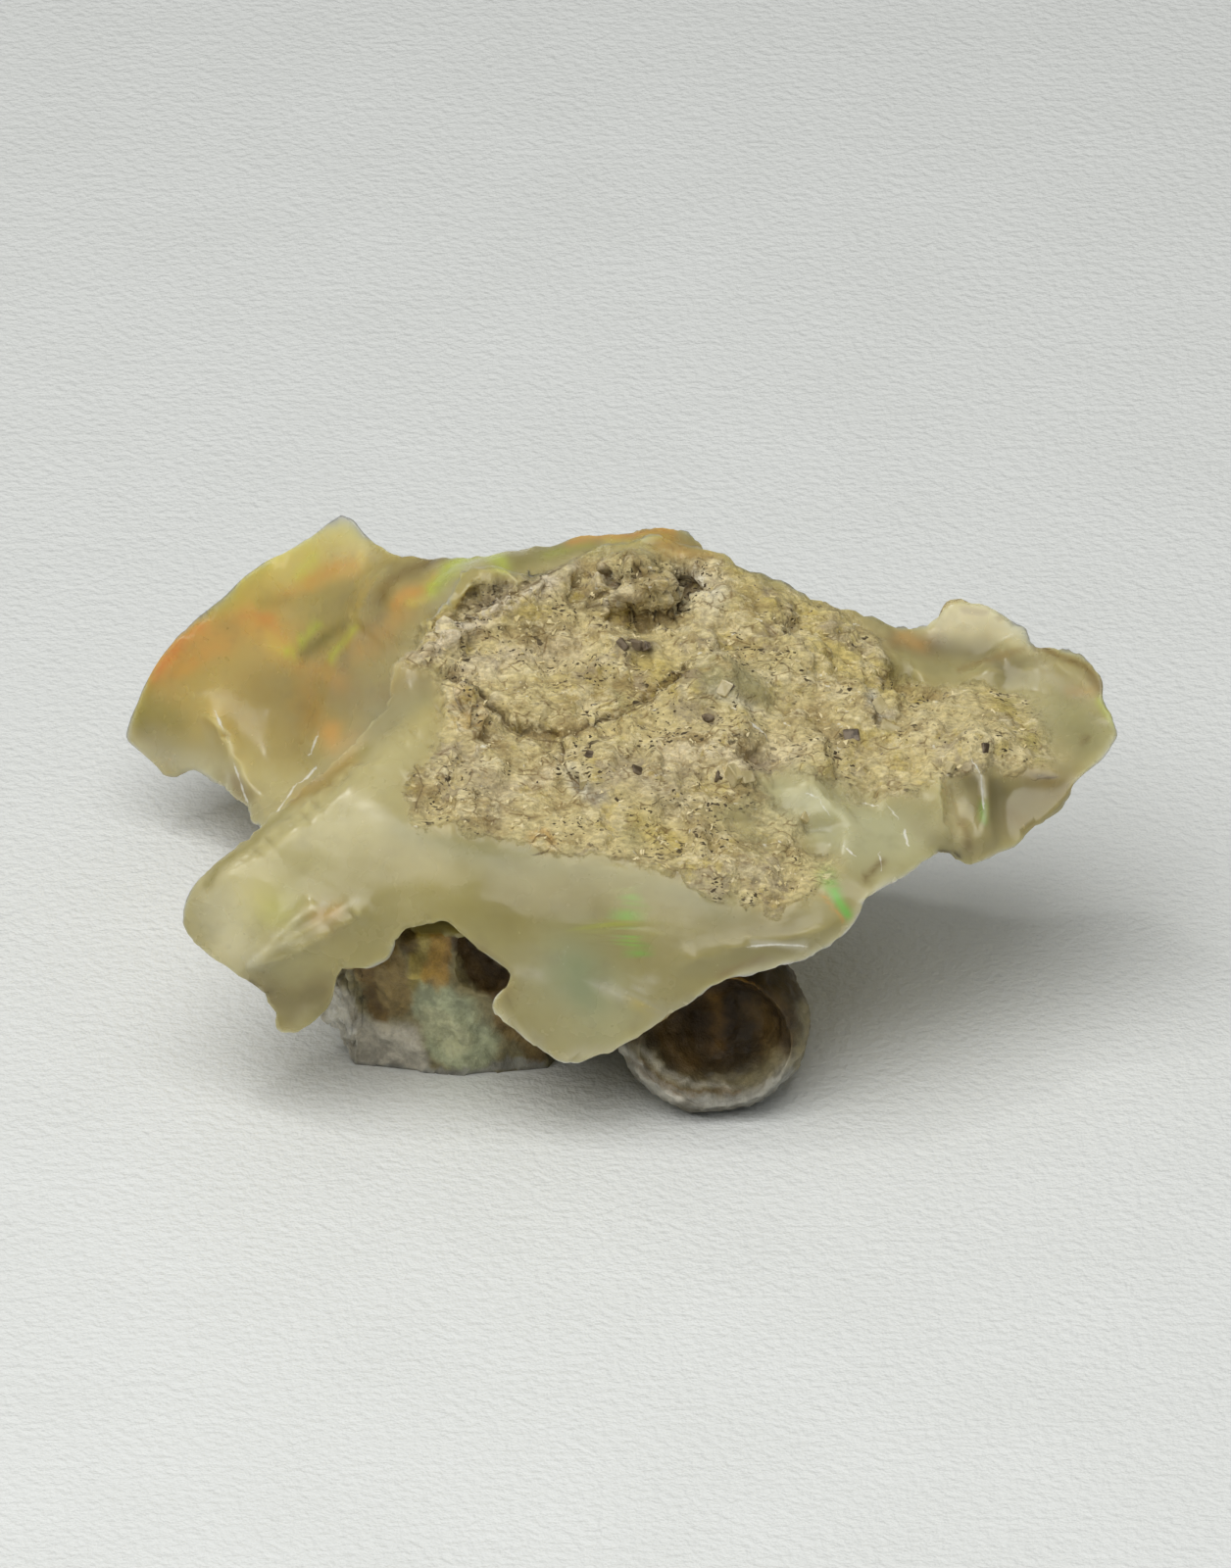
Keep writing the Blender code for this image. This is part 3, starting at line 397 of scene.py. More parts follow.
NODULE_STROKES = [
    # painted shade: the nodule under the overhanging lip is made deep brown all over
    (DEEP_BROWN, 1.0, 9.0, [(3.0, 3.0)]),
    (BROWN, 0.6, 0.5, [(1.6, 3.4), (1.7, 2.2), (2.3, 1.5)]),
    (AMBER, 0.3, 0.3, [(3.0, 3.6), (3.1, 2.0)]),
    (BROWN, 0.8, 0.5, [(4.6, 3.4), (4.9, 2.0)]),
    (SMOKE, 0.85, 0.4, [(0.6, 1.8), (1.6, 0.9), (2.9, 0.6), (4.2, 0.8), (5.1, 1.6)]),
    (ROCK_GREY, 0.95, 0.3, [(-0.2, 2.2), (0.2, 1.4), (1.0, 0.6), (2.8, 0.0), (4.6, 0.4), (5.7, 1.6)]),
    (ROCK_PALE, 0.45, 0.14, [(0.7, 1.9), (1.4, 1.2), (2.4, 0.8), (3.4, 0.6)]),
    (ROCK_PALE, 0.6, 0.2, [(-0.1, 2.0), (0.6, 1.0), (1.8, 0.3)]),
    # painted shadow of the lip across the nodule's top
    (DEEP_BROWN, 0.9, 0.22, [(3.4, 4.4), (4.6, 3.7), (5.3, 2.9), (5.5, 2.2)]),
    (BROWN, 0.7, 0.08, [(0.5, 1.6), (1.3, 0.9), (2.6, 0.45), (3.8, 0.5)]),
    (BROWN, 0.6, 0.08, [(0.1, 1.5), (1.0, 0.8), (2.2, 0.3)]),
    (SMOKE, 0.9, 0.2, [(5.6, 1.4), (6.0, 2.4), (5.9, 3.4)]),
]
# Where the opal is clear enough to see into: how clear, half width and marks
CLEAR_PARTS = [
    (0.3, 2.6, [(-13.6, 14.0), (-10.0, 16.6), (-8.4, 14.6), (-11.6, 13.0)]),
    (0.3, 0.8, [(-15.4, 11.8), (-12.6, 9.9)]),
    (0.35, 0.7, [(10.4, 15.4), (13.0, 15.0), (15.4, 13.2)]),
    (0.4, 1.2, [(11.0, 10.4), (12.8, 9.6)]),
    (0.3, 0.9, [(5.6, 9.4), (8.4, 8.6)]),
    (0.3, 0.8, [(-11.6, 3.6), (-9.8, 3.4)]),
    (0.35, 0.6, [(-4.0, 18.2), (2.4, 18.6)]),
]
OPAL_CLEARNESS = 0.12
# A surface is clear only where it faces the eye by more than this
CLEAR_FACING = (0.05, 0.5)
# Where light comes through the opal and brightens it: how much, half width and marks
LIT_PARTS = [
    (0.4, 2.8, [(-13.6, 14.0), (-10.0, 17.0), (-8.4, 14.6), (-11.6, 13.0)]),
    (0.4, 0.8, [(-9.6, 18.6), (-9.0, 18.0)]),
    (0.4, 0.8, [(10.4, 15.6), (13.0, 15.2), (15.4, 13.2)]),
    (0.5, 0.5, [(10.3, 10.9), (10.8, 9.2)]),
    (0.25, 1.0, [(5.6, 9.8), (8.8, 8.8)]),
    (0.15, 1.0, [(-6.2, 7.4), (-5.2, 7.0)]),
    (0.2, 1.2, [(11.0, 10.4), (12.8, 9.6)]),
    (0.35, 1.0, [(-12.8, 5.4), (-11.8, 6.6)]),
    (0.2, 0.9, [(-5.0, 18.0), (0.4, 18.6), (2.6, 17.8)]),
]
# The most light that any colour gives back
LIT_MOST = 0.82
# Rims that reach a little further than the solid: the move in millimetres, half width and marks
PULLS = [
    ((-0.32, 0.0, 0.1), 0.9, [(-15.8, 12.0), (-15.0, 14.2), (-13.4, 16.4), (-11.8, 17.8)]),
]

# Crisp lines on the near side: dark cracks and edges, some painted shadow, and painted glints on pale edges
DARK_AND_SHADOW_LINES = [
    [(-5.7, 13.6), (-4.9, 13.6), (-4.4, 13.3), (-4.1, 12.6), (-3.6, 12.15), (-2.06, 11.8), (-1.0, 12.4),
     (-0.2, 12.6), (1.1, 13.1), (1.8, 13.9), (2.3, 14.3)],
    [(-2.0, 11.7), (-1.85, 11.1), (-1.6, 10.6)],
    # painted shade in the furrow behind the pale ledge
    [(-4.9, 15.7), (-3.9, 16.4), (-2.7, 17.0), (-1.8, 17.5)],
    # painted shadow under the lump at the back
    [(-1.0, 16.2), (0.16, 16.2), (0.95, 15.9), (1.9, 16.3), (2.3, 17.2)],
    [(-2.9, 8.5), (-2.75, 8.75), (-2.45, 8.8), (-2.2, 8.55), (-2.4, 8.25), (-2.7, 8.2)],
    [(13.4, 10.6), (14.0, 10.65)],
    [(13.15, 15.5), (13.4, 15.0), (13.8, 14.85)],
    [(-6.6, 10.9), (-6.35, 10.4), (-6.6, 9.8)],
    [(0.8, 8.9), (1.5, 8.4)],
]
PAINTED_GLINTS = [
    [(-10.7, 10.45), (-11.0, 9.95), (-11.5, 9.2)],
    [(-10.1, 10.9), (-10.35, 10.6)],
    [(-10.0, 12.0), (-10.2, 11.5)],
    [(-13.35, 12.75), (-13.2, 12.4)],
    [(-12.7, 11.0), (-12.45, 10.3), (-12.3, 9.9)],
    [(4.2, 5.25), (5.0, 5.3), (5.8, 5.25)],
    [(11.4, 11.1), (11.6, 10.7), (11.65, 10.2), (11.7, 9.8)],
    [(6.1, 10.1), (6.3, 10.0)],
    [(6.5, 9.7), (6.6, 9.55)],
    [(7.25, 8.35), (7.4, 8.2)],
    [(8.3, 8.1), (8.35, 7.8)],
    [(4.2, 12.3), (4.6, 12.0)],
    [(8.6, 9.7), (8.8, 9.5)],
    [(7.9, 9.8), (8.1, 9.75)],
    [(9.1, 8.9), (9.2, 8.6)],
]
# How wide and how strong the lines are drawn, how ragged they are and over what distance, how near a corner
# must lie to carry its line, the share of it that fades it out, and what counts as far from every line
DARK_LINE_WIDTH = 0.05
DARK_LINE_STRENGTH = 0.7
PAINTED_GLINT_WIDTH = 0.05
PAINTED_GLINT_STRENGTH = 0.85
LINE_RAGGED = 0.14
LINE_RAGGED_SIZE = 0.4
LINE_REACH = 0.22
LINE_FADE = (0.4, 0.6)
LINE_FAR = 1.0

# Regions, in millimetres from the middle of the footprint: the nodule's middle and radii, how its region
# fades against those, and the block's reach
NODULE_MIDDLE = (2.95, -8.95, 2.5)
NODULE_RADII = (3.3, 3.2, 2.9)
NODULE_FADE = (1.0, 1.1)
BLOCK_LOW = (-9.9, -9.0, -0.1)
BLOCK_HIGH = (-1.2, -2.4, 5.4)
# How far a surface may face past the eye and still count as the near side, and as the rim
NEAR_TURN = (-0.4, 0.0)
RIM_TURN = 0.4
# Flashes and stains on the far side: colour, strength, half width and place
FAR_PATCHES = [
    (HONEY, 0.5, 5.0, (-8.0, 10.0, 6.0)),
    (ORANGE, 0.5, 1.6, (-13.0, 10.4, 4.0)),
    (LIME, 0.45, 1.3, (-10.4, 11.6, 7.0)),
    (FLAME, 0.35, 1.2, (-6.0, 9.4, 8.6)),
    (GREEN_FLASH, 0.3, 1.4, (2.0, 6.4, 7.0)),
    (ORANGE, 0.3, 1.6, (5.4, 4.8, 9.4)),
    (MINT, 0.5, 3.0, (8.5, 2.0, 7.5)),
    (BROWN, 0.5, 1.8, (-2.6, 8.4, 1.2)),
    (TAN_BROWN, 0.6, 2.4, (-4.6, 6.6, 2.4)),
    (SMOKE, 0.5, 2.2, (3.4, -2.4, 3.6)),
    (BROWN, 0.4, 1.4, (-8.2, 0.8, 3.2)),
]

# How far the colours wander from their marks and over what distance, in millimetres
WANDER = 0.3
WANDER_SIZE = 1.1
# Blender would take the wandering from the clock without a seed
WANDER_SEED = 5
# The share of finer wandering in the crust and in the smooth opal, how much finer it is, and where in the
# noise it is read
FINE_WANDER = 0.4
SMOOTH_WANDER = 0.08
FINE_TIMES = 4
FINE_DEPTH = 7
# Where a crisp stroke begins and ends to fade, as a share of its half width
CRISP_EDGE = (0.75, 1.15)
# How sharp the stone's edges stay: edges that bend by more than this angle are held by this much
EDGE_ANGLE = math.radians(50)
EDGE_HOLD = 0.6
RIM_HOLD = 0.9

# Rough noise: how fast its finer layers fade, how much finer each is than the last, and how many there are
NOISE_FALL = 0.8
NOISE_STEP = 2.1
NOISE_LAYERS = 4
# How far from a crease a chip's crest lies
CHIP_CREST = 0.5
# The least share of crust that is given its relief
CRUST_TRACE = 0.02
# Near the ground the relief fades out, over these heights in millimetres
FOOT_FADE = (0.0, 0.5)
# Relief of the finished surface, in millimetres: how high, and over what distance
CRUST_LUMPS = (0.17, 1.2)
CRUST_CHIPS = (0.15, 0.75)
CRUST_GRAIN = (0.07, 0.22)
OPAL_SWELL = (0.05, 2.4)
RIM_CHIPS = (0.12, 0.4)
# The most of the stone's thickness that a hollow takes, and the skin in millimetres that its measure skips
HOLLOW_SHARE = 0.3
SKIN = 0.02
# Where the rims are chipped less: how much less, half width and marks
CALM_RIMS = [
    (0.85, 2.0, [(-15.8, 12.4), (-13.4, 16.4), (-9.2, 19.2), (-7.0, 18.0), (-2.0, 18.4)]),
    (0.6, 1.5, [(-14.0, 7.0), (-12.6, 4.6)]),
]
# Painted shade in the crust's pits and painted highlight on its lumps: how deep its pits are and how high
# its lumps, in millimetres, and how strong the colour is there
CRUST_PIT_SHADE = (0.02, 0.28, 0.65)
CRUST_TOP_HIGHLIGHT = (0.05, 0.3, 0.5)
# Where the crust is broken up more than elsewhere: how much more, half width and marks
RUGGED = [
    (2.0, 0.9, [(-6.0, 15.9), (-4.4, 16.9)]),
    (2.2, 0.9, [(-0.6, 16.8), (1.8, 17.2)]),
    (1.8, 0.7, [(-5.2, 13.3), (-4.6, 12.4)]),
    (0.6, 1.0, [(5.4, 15.4), (8.6, 14.2)]),
    (0.7, 1.0, [(2.0, 10.8), (4.4, 10.9)]),
]
# Ribs and breaks of the bare opal: height, half width and marks
RIBS = [
    (0.08, 0.12, [(-11.5, 5.0), (-10.7, 5.9), (-9.9, 6.5)]),
    (0.08, 0.12, [(-11.9, 4.7), (-10.4, 5.6), (-8.7, 6.6)]),
    (0.1, 0.14, [(-12.3, 4.5), (-10.6, 5.0), (-8.4, 6.3)]),
    (-0.08, 0.15, [(-12.4, 7.8), (-10.2, 9.4), (-8.2, 11.4)]),
    (0.1, 0.1, [(4.0, 5.5), (5.2, 5.5), (6.6, 5.9)]),
    (0.1, 0.12, [(11.3, 11.4), (11.7, 10.6), (11.7, 9.6), (11.6, 8.9)]),
    (-0.1, 0.1, [(10.6, 10.4), (10.9, 9.4), (10.7, 8.6)]),
    (0.12, 0.12, [(13.0, 14.1), (14.2, 14.3), (15.2, 13.6)]),
]
# Relief of the rocky foot, the nodule and the far side: how high, and over what distance
ROCK_LUMPS = (0.22, 0.8)
NODULE_LUMPS = (0.16, 1.1)
NODULE_GRAIN = (0.05, 0.3)
FAR_LUMPS = (0.3, 2.6)
FAR_STEPS = (0.2, 2.2)
FAR_GRAIN = (0.05, 0.5)
# Scraps of crust on the far side: their size in millimetres, and the noise that they start and fill up at
FAR_SCRAP_SIZE = 4.4
FAR_SCRAPS = (0.16, 0.34)
# Cracks, pits and furrows of the crust: how deep, half width and marks; the ledge stands up instead
GROOVES = [
    (0.22, 0.1, CRACK),
    (0.2, 0.09, CRACK_BRANCH),
    (0.35, 0.14, [(0.2, 15.9), (1.3, 15.8), (2.1, 16.3)]),
    (0.25, 0.2, LEFT_PIT),
    (0.25, 0.2, RIGHT_PIT),
    (-0.22, 0.26, PALE_LEDGE),
    (0.3, 0.2, [(-5.4, 15.8), (-4.0, 16.6), (-2.6, 17.3)]),
]


def to_linear(colour):
    """A colour's amounts of light."""
    share = np.array(colour) / FULL_SHADE
    curved = ((share + CURVE_LIFT) / (1 + CURVE_LIFT)) ** CURVE_POWER
    return np.where(share <= CURVE_KNEE, share / CURVE_SLOPE, curved)


def soft_step(values, low, high):
    """Rises smoothly from 0 at low to 1 at high."""
    share = np.clip((values - low) / (high - low), 0, 1)
    return share * share * (3 - 2 * share)


def distance_to_line(points, marks):
    """The distance of each point to the nearest stretch of an open line."""
    marks = np.array(marks, float)
    if len(marks) == 1:
        return np.linalg.norm(points - marks[0], axis=1)
    nearest = np.full(len(points), np.inf)
    for start, end in zip(marks[:-1], marks[1:]):
        run = end - start
        share = np.clip(((points - start) @ run) / float(run @ run), 0, 1)
        nearest = np.minimum(nearest, np.linalg.norm(points - start - share[:, None] * run, axis=1))
    return nearest


def nearness(points, marks, half_width):
    """How much of a soft stroke each point has: 1 on its line, fading over its half width."""
    return np.exp(-(distance_to_line(points, marks) / half_width) ** 2)


def nearest_line(points, lines):
    """How far each point lies from the nearest line: more than 0 on the line's left, less on its right."""
    sides = np.full(len(points), LINE_FAR)
    for marks in lines:
        marks = np.array(marks, float)
        for start, end in zip(marks[:-1], marks[1:]):
            run = end - start
            away = points - start
            share = np.clip((away @ run) / float(run @ run), 0, 1)
            reach = np.linalg.norm(away - share[:, None] * run, axis=1)
            left = np.where(run[0] * away[:, 1] - run[1] * away[:, 0] < 0, -1.0, 1.0)
            sides = np.where(reach < np.abs(sides), reach * left, sides)
    return sides


def inside_outline(points, outline):
    """Which points lie inside the closed outline."""
    inside = np.zeros(len(points), bool)
    x, y = points[:, 0], points[:, 1]
    for (x0, y0), (x1, y1) in zip(outline, outline[1:] + outline[:1]):
        if y0 != y1:
            inside ^= ((y0 > y) != (y1 > y)) & (x < (x1 - x0) * (y - y0) / (y1 - y0) + x0)
    return inside


def divide(stone):
    """Divides a mesh's faces smoothly."""
    bpy.context.view_layer.objects.active = stone
    finer = stone.modifiers.new("finer", "SUBSURF")
    finer.levels = SUBDIVISIONS
    finer.render_levels = SUBDIVISIONS
    bpy.ops.object.modifier_apply(modifier=finer.name)


def hold_corners(stone):
    """Pushes the corners out by what the smoothing takes from them, so that the rims keep their reach."""
    trial = stone.copy()
    trial.data = stone.data.copy()
    bpy.context.collection.objects.link(trial)
    divide(trial)
    for corner, smoothed in zip(stone.data.vertices, trial.data.vertices):
        corner.co += (corner.co - smoothed.co) * RIM_HOLD
    bpy.data.objects.remove(trial)


def fine_copy(node):
    """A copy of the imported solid, with its corners merged and its faces divided."""
    bpy.ops.object.select_all(action="DESELECT")
    stone = node.copy()
    stone.data = node.data.copy()
    bpy.context.collection.objects.link(stone)
    bpy.context.view_layer.objects.active = stone
    stone.select_set(True)
    bpy.ops.object.mode_set(mode="EDIT")
    bpy.ops.mesh.select_all(action="SELECT")
    bpy.ops.mesh.remove_doubles(threshold=MERGE_GAP)
    bpy.ops.mesh.tris_convert_to_quads()
    bpy.ops.mesh.select_all(action="DESELECT")
    bpy.ops.mesh.edges_select_sharp(sharpness=EDGE_ANGLE)
    bpy.ops.transform.edge_crease(value=EDGE_HOLD)
    bpy.ops.object.mode_set(mode="OBJECT")
    hold_corners(stone)
    divide(stone)
    bpy.ops.object.shade_smooth()
    return stone


def fractal(places, height, size):
    """Rough noise of that height and size at each place."""
    rises = [noise.fractal(Vector(place) / size, NOISE_FALL, NOISE_STEP, NOISE_LAYERS) for place in places]
    return height * np.array(rises)


def chips(places, height, size):
    """Blunt chips with creases between them, at each place."""
    rises = []
    for place in places:
        near, next_near = noise.voronoi(Vector(place) / size)[0][:2]
        rises.append(min(next_near - near, CHIP_CREST))
    return height * (np.array(rises) - CHIP_CREST / 2) / CHIP_CREST


def wandered(points, fine_share):
    """The sheet's points, each moved a little, so that what is drawn on them wanders."""
    moved = []
    for x, y in points:
        coarse = noise.noise_vector(Vector((x, y, 0)) / WANDER_SIZE)
        fine = noise.noise_vector(Vector((x, y, FINE_DEPTH)) / WANDER_SIZE * FINE_TIMES)
        moved.append((x + WANDER * (coarse.x + fine_share * fine.x),
                      y + WANDER * (coarse.y + fine_share * fine.y)))
    return np.array(moved)


def lay(colours, colour, amounts):
    """Lays a colour over the colours, by its amount at each corner."""
    colours += (to_linear(colour) - colours) * amounts[:, None]


def lay_strokes(colours, strokes, points, share, crisp=False):
    """Lays soft or crisp strokes over the colours of the corners that have a share in them."""
    for colour, strength, half_width, marks in strokes:
        reach = distance_to_line(points, marks) / half_width
        amounts = 1 - soft_step(reach, *CRISP_EDGE) if crisp else np.exp(-reach ** 2)
        lay(colours, colour, strength * amounts * share)


def read_places(mesh):
    """The corners' places in millimetres and their normals."""
    places = np.empty(len(mesh.vertices) * 3)
    normals = np.empty(len(mesh.vertices) * 3)
    mesh.vertices.foreach_get("co", places)
    mesh.vertices.foreach_get("normal", normals)
    return places.reshape(-1, 3) / MM, normals.reshape(-1, 3)


def on_sheet(places):
    """Where places lie across and up the leaning sheet, and how far back."""
    back = places[:, 1] - cad_low.y / MM + FRONT_LIP_BACK
    up = places[:, 2] * math.cos(TILT) + back * math.sin(TILT)
    return np.column_stack([places[:, 0], up]), back


def find_regions(places, normals, points):
    """How much each corner belongs to each region, and how clear it is."""
    facing = normals @ TOWARDS_EYE
    away = np.linalg.norm((places - NODULE_MIDDLE) / NODULE_RADII, axis=1)
    nodule = 1 - soft_step(away, *NODULE_FADE)
    inside = np.all((places > BLOCK_LOW) & (places < BLOCK_HIGH), axis=1)
    block = np.where(inside, 1.0, 0.0)
    near = soft_step(facing, *NEAR_TURN) * (1 - nodule) * (1 - block)
    edge = distance_to_line(points, CRUST_OUTLINE + CRUST_OUTLINE[:1])
    depth = np.where(inside_outline(points, CRUST_OUTLINE), edge, -edge)
    crust = soft_step(depth, -CRUST_SOFTNESS, CRUST_SOFTNESS) * near
    for strength, half_width, marks in CLEARINGS:
        crust *= 1 - strength * nearness(points, marks, half_width)
    rim = np.exp(-(facing / RIM_TURN) ** 2) * near * (1 - crust)
    for calm, half_width, marks in CALM_RIMS:
        rim *= 1 - calm * nearness(points, marks, half_width)
    far = (1 - soft_step(facing, *NEAR_TURN)) * (1 - nodule) * (1 - block)
    scraps = soft_step(fractal(places, 1.0, FAR_SCRAP_SIZE), *FAR_SCRAPS)
    crust = np.maximum(crust, scraps * far)
    clear = np.full(len(places), OPAL_CLEARNESS)
    for share, half_width, marks in CLEAR_PARTS:
        clear += (share - clear) * nearness(points, marks, half_width)
    clear *= soft_step(facing, *CLEAR_FACING) * (1 - np.maximum(crust, np.maximum(block, nodule)))
    regions = {"block": block, "nodule": nodule, "near": near, "far": far}
    regions.update({"crust": crust, "rim": rim, "clear": clear})
    return regions


def crust_relief(places, points, regions):
    """How far each corner of the crust rises or sinks."""
    rises = np.zeros(len(places))
    crusty = regions["crust"] > CRUST_TRACE
    chosen = places[crusty]
    near = regions["near"][crusty]
    relief = fractal(chosen, *CRUST_LUMPS) + chips(chosen, *CRUST_CHIPS) + fractal(chosen, *CRUST_GRAIN)
    for more, half_width, marks in RUGGED:
        relief *= 1 + more * nearness(points[crusty], marks, half_width) * near
    for depth, half_width, marks in GROOVES:
        relief -= depth * nearness(points[crusty], marks, half_width) * near
    rises[crusty] = relief * regions["crust"][crusty]
    return rises


def hold_thin_parts(mesh, places, normals, rises):
    """Keeps hollows from going through the stone where it is thin."""
    sheet = BVHTree.FromPolygons(places.tolist(), [tuple(face.vertices) for face in mesh.polygons])
    for k in np.flatnonzero(rises < 0):
        inward = -Vector(normals[k])
        _, _, _, thickness = sheet.ray_cast(Vector(places[k]) + inward * SKIN, inward)
        if thickness is not None:
            rises[k] = max(rises[k], -HOLLOW_SHARE * thickness)


def roughen(mesh, places, normals, points, regions, relief):
    """Moves the corners square to the surface: crust, rock, breaks and the opal's faint swell."""
    rises = relief.copy()
    rocky = regions["block"] > 0
    rises[rocky] += fractal(places[rocky], *ROCK_LUMPS)
    rises += (fractal(places, *NODULE_LUMPS) + fractal(places, *NODULE_GRAIN)) * regions["nodule"]
    smooth = regions["near"] * (1 - regions["crust"])
    rises += fractal(places, *OPAL_SWELL) * smooth + fractal(places, *RIM_CHIPS) * regions["rim"]
    for height, half_width, marks in RIBS:
        rises += height * np.exp(-distance_to_line(points, marks) / half_width) * smooth
    breaks = fractal(places, *FAR_LUMPS) + chips(places, *FAR_STEPS) + fractal(places, *FAR_GRAIN)
    rises += breaks * regions["far"]
    rises *= soft_step(places[:, 2], *FOOT_FADE)
    hold_thin_parts(mesh, places, normals, rises)
    moved = places + normals * rises[:, None]
    for move, half_width, marks in PULLS:
        moved += np.array(move) * nearness(points, marks, half_width)[:, None]
    moved[:, 2] = np.maximum(moved[:, 2], 0)
    return moved


def paint(places, points, regions, relief):
    """The stone's colours at its corners."""
    colours = np.tile(to_linear(OPAL_BODY), (len(places), 1))
    drift = wandered(points, FINE_WANDER)
    smooth_drift = wandered(points, SMOOTH_WANDER)
    near, crust, far = regions["near"], regions["crust"], regions["far"]
    for colour, strength, half_width, middle in FAR_PATCHES:
        away = np.linalg.norm(places - middle, axis=1)
        lay(colours, colour, strength * np.exp(-(away / half_width) ** 2) * far)
    lay_strokes(colours, WING_STROKES, smooth_drift, near)
    lay_strokes(colours, SLAB_STROKES, smooth_drift, near)
    for gain, half_width, marks in LIT_PARTS:
        colours *= 1 + (gain * nearness(points, marks, half_width) * near)[:, None]
    colours *= np.minimum(1, LIT_MOST / colours.max(axis=1))[:, None]
    lay(colours, TAN, crust)
    lay_strokes(colours, CRUST_STROKES, drift, crust * near)
    # painted shade in the crust's pits, and painted highlight on the tops of its lumps
    low, high, strength = CRUST_PIT_SHADE
    lay(colours, UMBER, strength * soft_step(-relief, low, high) * crust)
    low, high, strength = CRUST_TOP_HIGHLIGHT
    lay(colours, LEDGE, strength * soft_step(relief, low, high) * crust)
    lay_strokes(colours, BLOCK_STROKES, drift, regions["block"], crisp=True)
    lay_strokes(colours, NODULE_STROKES, drift, regions["nodule"])
    return colours


def store(mesh, name, values):
    """Keeps one number for each corner under a name that the material reads."""
    layer = mesh.attributes.new(name, "FLOAT", "POINT")
    layer.data.foreach_set("value", values.astype(np.float32))


def dress_stone(stone):
    """Roughens the stone's surface and keeps its colours and regions for its material."""
    mesh = stone.data
    places, normals = read_places(mesh)
    points, _ = on_sheet(places)
    regions = find_regions(places, normals, wandered(points, FINE_WANDER))
    relief = crust_relief(places, points, regions)
    colours = paint(places, points, regions, relief)
    moved = roughen(mesh, places, normals, points, regions, relief)
    mesh.vertices.foreach_set("co", (moved * MM).ravel())
    mesh.update()
    layer = mesh.attributes.new("tint", "FLOAT_COLOR", "POINT")
    opaque = np.column_stack([colours, np.ones(len(colours))])
    layer.data.foreach_set("color", opaque.astype(np.float32).ravel())
    for name, lines in (("dark_and_shadow_line", DARK_AND_SHADOW_LINES), ("painted_glint", PAINTED_GLINTS)):
        sides = nearest_line(points, lines)
        store(mesh, name, sides)
        store(mesh, name + "_share", np.exp(-(sides / LINE_REACH) ** 2) * regions["near"])
    store(mesh, "crust", regions["crust"])
    store(mesh, "clear", regions["clear"])
    store(mesh, "far", regions["far"])
    store(mesh, "rock", np.maximum(regions["block"], regions["nodule"]))


# Crystals in the crust: kind, place on the sheet, length and width
CRYSTALS = [
    ("dark", 0.1, 15.0, 0.5, 0.32), ("dark", 0.45, 14.9, 0.6, 0.3), ("dark", 0.8, 14.85, 0.4, 0.3),
    ("dark", 2.8, 12.6, 0.6, 0.36), ("dark", -1.0, 11.4, 0.45, 0.3), ("dark", 0.5, 10.9, 0.5, 0.34),
    ("dark", 3.1, 10.7, 0.35, 0.28), ("dark", 7.4, 12.0, 0.6, 0.4), ("dark", 11.7, 11.7, 0.4, 0.26),
    ("dark", 1.7, 7.6, 0.3, 0.24), ("dark", 3.2, 6.85, 0.36, 0.26), ("dark", 3.5, 13.6, 0.28, 0.2),
    ("clear", 3.7, 10.8, 0.7, 0.5), ("clear", 4.1, 10.6, 0.5, 0.4), ("clear", 8.7, 12.2, 0.8, 0.5),
    ("clear", 8.3, 13.0, 0.6, 0.5), ("clear", 3.4, 13.5, 0.6, 0.4), ("clear", 13.2, 11.4, 0.5, 0.4),
    ("clear", -1.3, 10.5, 0.5, 0.4), ("clear", 5.9, 9.4, 0.4, 0.3), ("clear", 10.6, 11.0, 0.4, 0.3),
]
# Grains all over the crust: kind, how many, and the smallest and largest width
GRAINS = [
    ("dark", 190, 0.07, 0.15),
    ("clear", 90, 0.08, 0.18),
    ("pale", 700, 0.12, 0.32),
]
GRAIN_SEED = 5
# How high a crystal is and how deep its middle lies, against its width, and how far it leans
CRYSTAL_HEIGHT = 0.7
CRYSTAL_SUNK = 0.16
CRYSTAL_LEAN = 0.55
# How wide and how high a grain is, against its length, and how far it leans
GRAIN_WIDTHS = (0.5, 1.0)
GRAIN_HEIGHTS = (0.4, 0.8)
GRAIN_LEAN = 0.5
# One crystal and one grain, in millimetres: the cube's size and bevel, the cone's sides, radius and height,
# and how far the corners are moved at random
CUBE_SIZE = 0.85
CUBE_BEVEL = 0.08
CONE_SIDES = 4
CONE_RADIUS = 0.55
CONE_HEIGHT = 0.8
CORNER_MOVE = 0.24
# The small pieces' finishes: name, two colours, roughness and clearness
MINERALS = {
    "dark": ("dark mineral", DARK_MINERAL, DARK_GREY_MINERAL, 0.5, 0.0),
    "clear": ("clear mineral", TAN_PALE, TAN, 0.12, 0.3),
    "pale": ("pale ash", TAN_PALE, TAN, 0.8, 0.0),
}
MINERAL_IOR = 1.5
# How squarely a face meets the eye, and how much crust it has, to carry grains
FACING_ENOUGH = 0.1
CRUST_ENOUGH = 0.75

# Places of a Mix node's colour sockets
MIX_A, MIX_B, MIX_OUT = 6, 7, 2
# The crust's streaks run across the stone, sinking a little to the right
FLOW_TURN = math.radians(20)
FLOW_STRETCH = (0.5, 1.0, 1.0)
